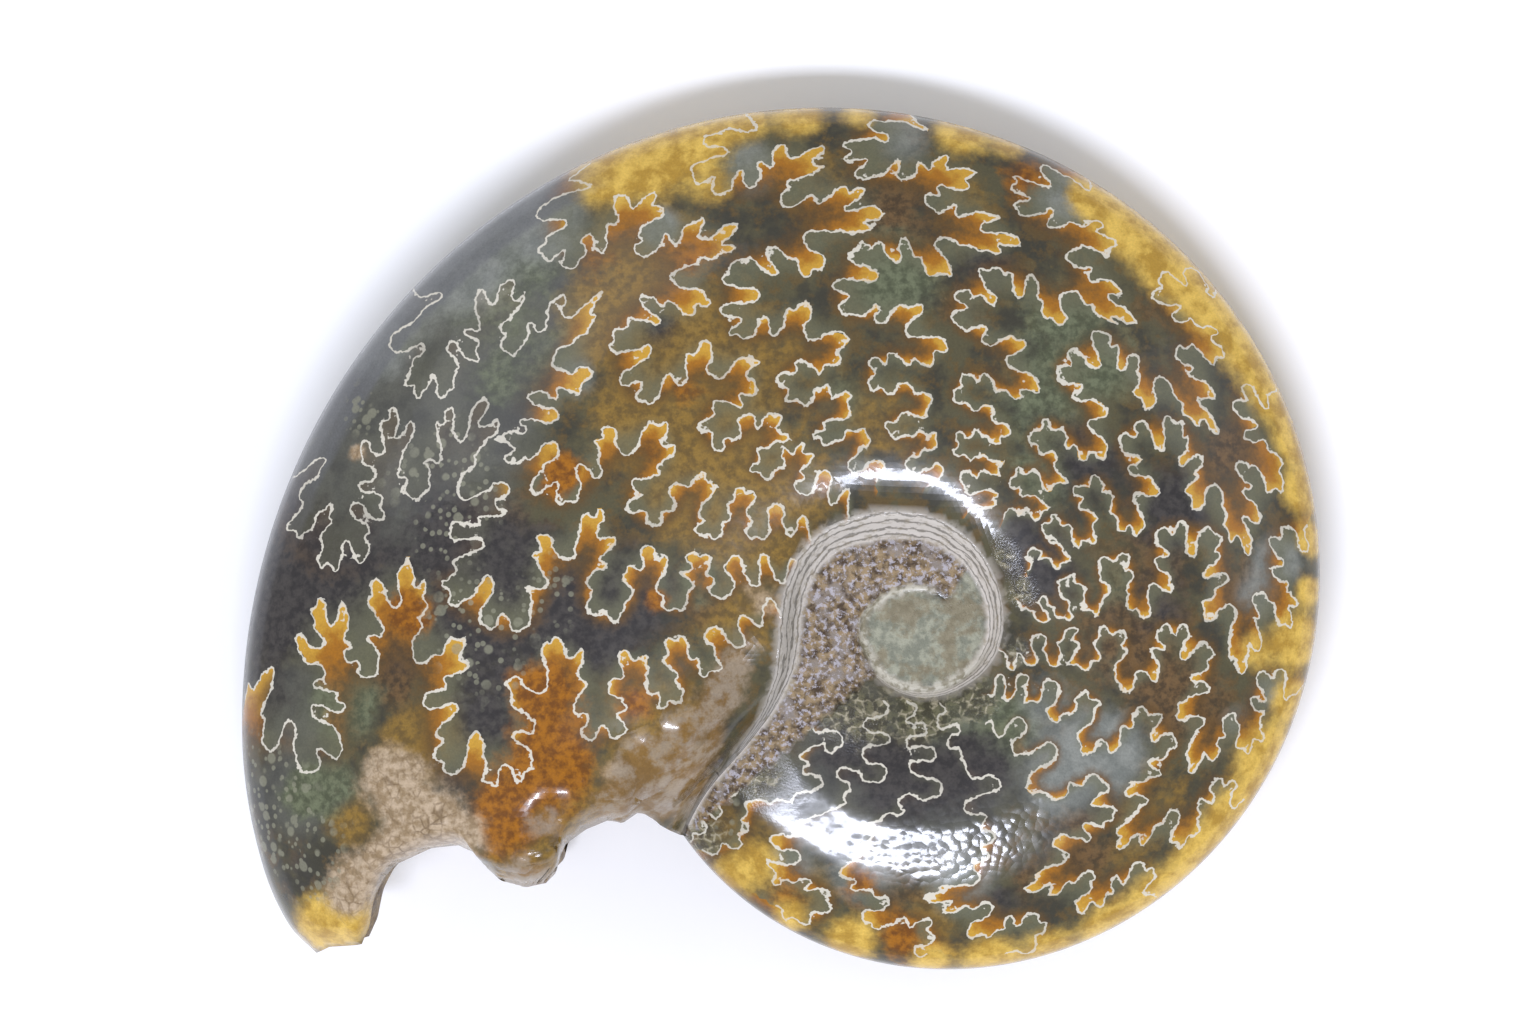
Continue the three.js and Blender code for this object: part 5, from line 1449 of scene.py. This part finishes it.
def write_attributes(mesh, skin, faces, points):
    count = len(skin.x)
    shared = np.zeros(count, bool)
    shared[skin.keel] = True
    angle, radius = skin.angle, skin.radius
    seam = seam_radius(angle)
    inner = seam_radius(angle - TURN)
    share = share_at(angle, np.maximum(radius, seam))
    wall = wall_share(angle)
    across = np.clip((share - wall) / (1 - wall), 0, 1)
    deep = (radius < seam) & (angle - TURN > HOLLOW_END_ANGLE)
    disc = np.where(angle > DISC_MOUTH, inner, seam)
    values = {
        "line": skin.line,
        "wall": smoothstep(share, wall - 0.01, wall + 0.01) * (radius >= seam - 0.05),
        "across": across,
        "floor": smoothstep(seam - radius, -0.05, 0.25) * (deep & (radius > inner)),
        "fill": smoothstep(disc - radius, 0.1, 0.5),
        "traced": 1 - smoothstep(skin.line / radius, 0.06, 0.1),
        "rim": rim_share(angle, radius - disc),
        "easing": eased_height(angle, share),
        # painted reflection on the keel's polished bevel
        "bevel": bevel_reflection_share(angle, radius),
        **{name: zone_weight(blobs, skin.x, skin.y) for name, blobs in ZONES.items()},
    }
    for name, value in values.items():
        full = np.zeros(len(points), np.float32)
        both = doubled(value, shared)
        full[:len(both)] = both
        layer = mesh.attributes.new(name, "FLOAT", "POINT")
        layer.data.foreach_set("value", full)
    for name in ("behind", "ahead", "tip", "bay"):
        upper = getattr(skin, name)
        full = np.zeros((len(faces), 3), np.float32)
        full[:len(upper)] = upper
        full[len(upper):2 * len(upper)] = upper[:, ::-1]
        layer = mesh.attributes.new(name, "FLOAT", "CORNER")
        layer.data.foreach_set("value", full.ravel())


def build_shell(settings):
    paths = [smooth_path(read_path(text), TRACE_STEP) for text in SUTURES]
    skin = Skin(paths)
    points, faces, end_faces = assemble_shell(skin)
    mesh = bpy.data.meshes.new("ammonite_shell")
    mesh.from_pydata(settle(points), [], faces.tolist(), False)
    write_attributes(mesh, skin, faces, points)
    layer = mesh.uv_layers.new(name="OFBake")
    layer.data.foreach_set("uv", texture_places(skin, end_faces).reshape(-1).astype(np.float32))
    for material in (polished_material(settings), broken_material()):
        mesh.materials.append(material)
    index = np.zeros(len(faces), np.int32)
    index[2 * len(skin.faces):] = 1
    mesh.polygons.foreach_set("material_index", index)
    mesh.shade_smooth()
    shell = bpy.data.objects.new("ammonite_shell", mesh)
    bpy.context.scene.collection.objects.link(shell)
    return shell


def colour_property(name, description, code):
    return bpy.props.FloatVectorProperty(
        name=name, description=description, default=linear(code)[:3],
        size=3, min=0.0, max=1.0, subtype="COLOR")


class AmmoniteSettings(bpy.types.PropertyGroup):
    line_width: bpy.props.FloatProperty(
        name="Line width", description="Width of the suture lines",
        default=0.00018, min=0.00005, max=0.001, unit="LENGTH", precision=5)
    polish_roughness: bpy.props.FloatProperty(
        name="Polish roughness", description="Roughness of the polished flank",
        default=0.22, min=0.0, max=1.0, subtype="FACTOR")
    coat: bpy.props.FloatProperty(
        name="Polish coat", description="Strength of the glossy layer over the stone",
        default=0.35, min=0.0, max=1.0, subtype="FACTOR")
    line_colour: colour_property("Line colour", "Colour of the suture lines", "d6d0c0")
    amber_colour: colour_property("Amber colour", "Colour of the lobes", "9d6510")
    gold_colour: colour_property("Gold colour", "Colour of the lobe tips", "c39632")
    saddle_colour: colour_property("Saddle colour", "Colour of the saddles", "6c6b52")
    wall_colour: colour_property("Wall colour", "Colour of the umbilicus wall", "d2cabf")


class StageSettings(bpy.types.PropertyGroup):
    lens: bpy.props.FloatProperty(
        name="Lens", description="Focal length of the camera", default=135.0, min=20.0, unit="CAMERA")
    floor_size: bpy.props.FloatProperty(
        name="Floor size", description="Width of the floor", default=6.0, min=0.5, unit="LENGTH")
    floor_colour: colour_property("Floor colour", "Colour of the floor", "fbfbfb")
    lamp_colour: colour_property("Lamp colour", "Colour of the lamps", "e8edff")
    sky: bpy.props.FloatProperty(
        name="Sky strength", description="Strength of the even light", default=0.56, min=0.0)


def aim(thing, place, target, up):
    """Stands an object at a place, facing a target"""
    back = (place - target).normalized()
    right = up.cross(back).normalized()
    turn = Matrix((right, back.cross(right), back)).transposed()
    thing.matrix_world = Matrix.Translation(place) @ turn.to_4x4()


def shell_place(x, y, z=0.0):
    """A point of the shell's frame where it lies, in metres"""
    return (lie() @ Vector((x, y, z)) + Vector((*UMBILICUS_PLACE, REST_HEIGHT))) * MM


# Lamps, as (direction in the shell's frame, distance in metres, width, height, watts)
LAMPS = (
    ((-0.122, -0.377, 1.0), 0.9, 0.42, 0.095, 6.0),
    ((-0.9, 0.9, 1.2), 1.0, 0.6, 0.6, 1.0),
    ((1.1, 0.4, 0.9), 1.0, 0.6, 0.6, 0.7),
)


def build_stage(settings):
    scene = bpy.context.scene
    half = settings.floor_size / 2
    mesh = bpy.data.meshes.new("floor")
    mesh.from_pydata([(-half, -half, 0), (half, -half, 0), (half, half, 0), (-half, half, 0)],
                     [], [(0, 1, 2, 3)])
    material, tree, shader = new_material("pale floor")
    put(tree, shader, {"Base Color": (*settings.floor_colour, 1), "Roughness": 0.8})
    mesh.materials.append(material)
    floor = bpy.data.objects.new("floor", mesh)
    scene.collection.objects.link(floor)

    target = shell_place(*shell_point(*PICTURE_CENTRE))
    view = lie() @ Vector((0, 0, 1))
    up = lie() @ Vector((0, 1, 0))
    data = bpy.data.cameras.new("camera")
    data.lens = settings.lens
    camera = bpy.data.objects.new("camera", data)
    scene.collection.objects.link(camera)
    distance = PICTURE_WIDTH * MM_PER_PIXEL * MM * settings.lens / data.sensor_width
    aim(camera, target + view * distance, target, up)
    scene.camera = camera

    for number, (direction, reach, width, height, power) in enumerate(LAMPS, 1):
        lamp = bpy.data.lights.new(f"lamp {number}", "AREA")
        lamp.shape = "RECTANGLE"
        lamp.size = width
        lamp.size_y = height
        lamp.energy = power
        lamp.color = settings.lamp_colour
        holder = bpy.data.objects.new(f"lamp {number}", lamp)
        scene.collection.objects.link(holder)
        aim(holder, target + lie() @ Vector(direction).normalized() * reach, target, up)

    world = bpy.data.worlds.new("even light")
    world.use_nodes = True
    sky = world.node_tree.nodes["Background"].inputs
    put(world.node_tree, sky, {"Color": (1, 1, 1, 1), "Strength": settings.sky})
    scene.world = world
    scene.view_settings.view_transform = "Standard"


class OBJECT_OT_build_ammonite(bpy.types.Operator):
    """Builds the ammonite fossil with its suture lines and broken end"""

    bl_idname = "object.build_ammonite"
    bl_label = "Build ammonite"

    def execute(self, context):
        shell = build_shell(context.scene.ammonite)
        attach(shell, "root")
        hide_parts("ammonite")
        return {"FINISHED"}


class OBJECT_OT_build_ammonite_stage(bpy.types.Operator):
    """Builds the floor, the lamps and the camera"""

    bl_idname = "object.build_ammonite_stage"
    bl_label = "Build stage"

    def execute(self, context):
        build_stage(context.scene.ammonite_stage)
        return {"FINISHED"}


class VIEW3D_PT_ammonite(bpy.types.Panel):
    bl_idname = "VIEW3D_PT_ammonite"
    bl_label = "Polished ammonite"
    bl_space_type = "VIEW_3D"
    bl_region_type = "UI"
    bl_category = "Ammonite"

    def draw(self, context):
        for settings, operator in (
            (context.scene.ammonite, OBJECT_OT_build_ammonite),
            (context.scene.ammonite_stage, OBJECT_OT_build_ammonite_stage),
        ):
            for name in settings.bl_rna.properties.keys():
                if name not in ("rna_type", "name"):
                    self.layout.prop(settings, name)
            self.layout.operator(operator.bl_idname)


CLASSES = (
    AmmoniteSettings,
    StageSettings,
    OBJECT_OT_build_ammonite,
    OBJECT_OT_build_ammonite_stage,
    VIEW3D_PT_ammonite,
)


def register():
    for entry in CLASSES:
        bpy.utils.register_class(entry)
    bpy.types.Scene.ammonite = bpy.props.PointerProperty(type=AmmoniteSettings)
    bpy.types.Scene.ammonite_stage = bpy.props.PointerProperty(type=StageSettings)


def unregister():
    del bpy.types.Scene.ammonite_stage
    del bpy.types.Scene.ammonite
    for entry in reversed(CLASSES):
        bpy.utils.unregister_class(entry)


def main():
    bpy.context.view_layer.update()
    register()
    bpy.ops.object.build_ammonite()
    bpy.ops.object.build_ammonite_stage()


if __name__ == "__main__":
    main()
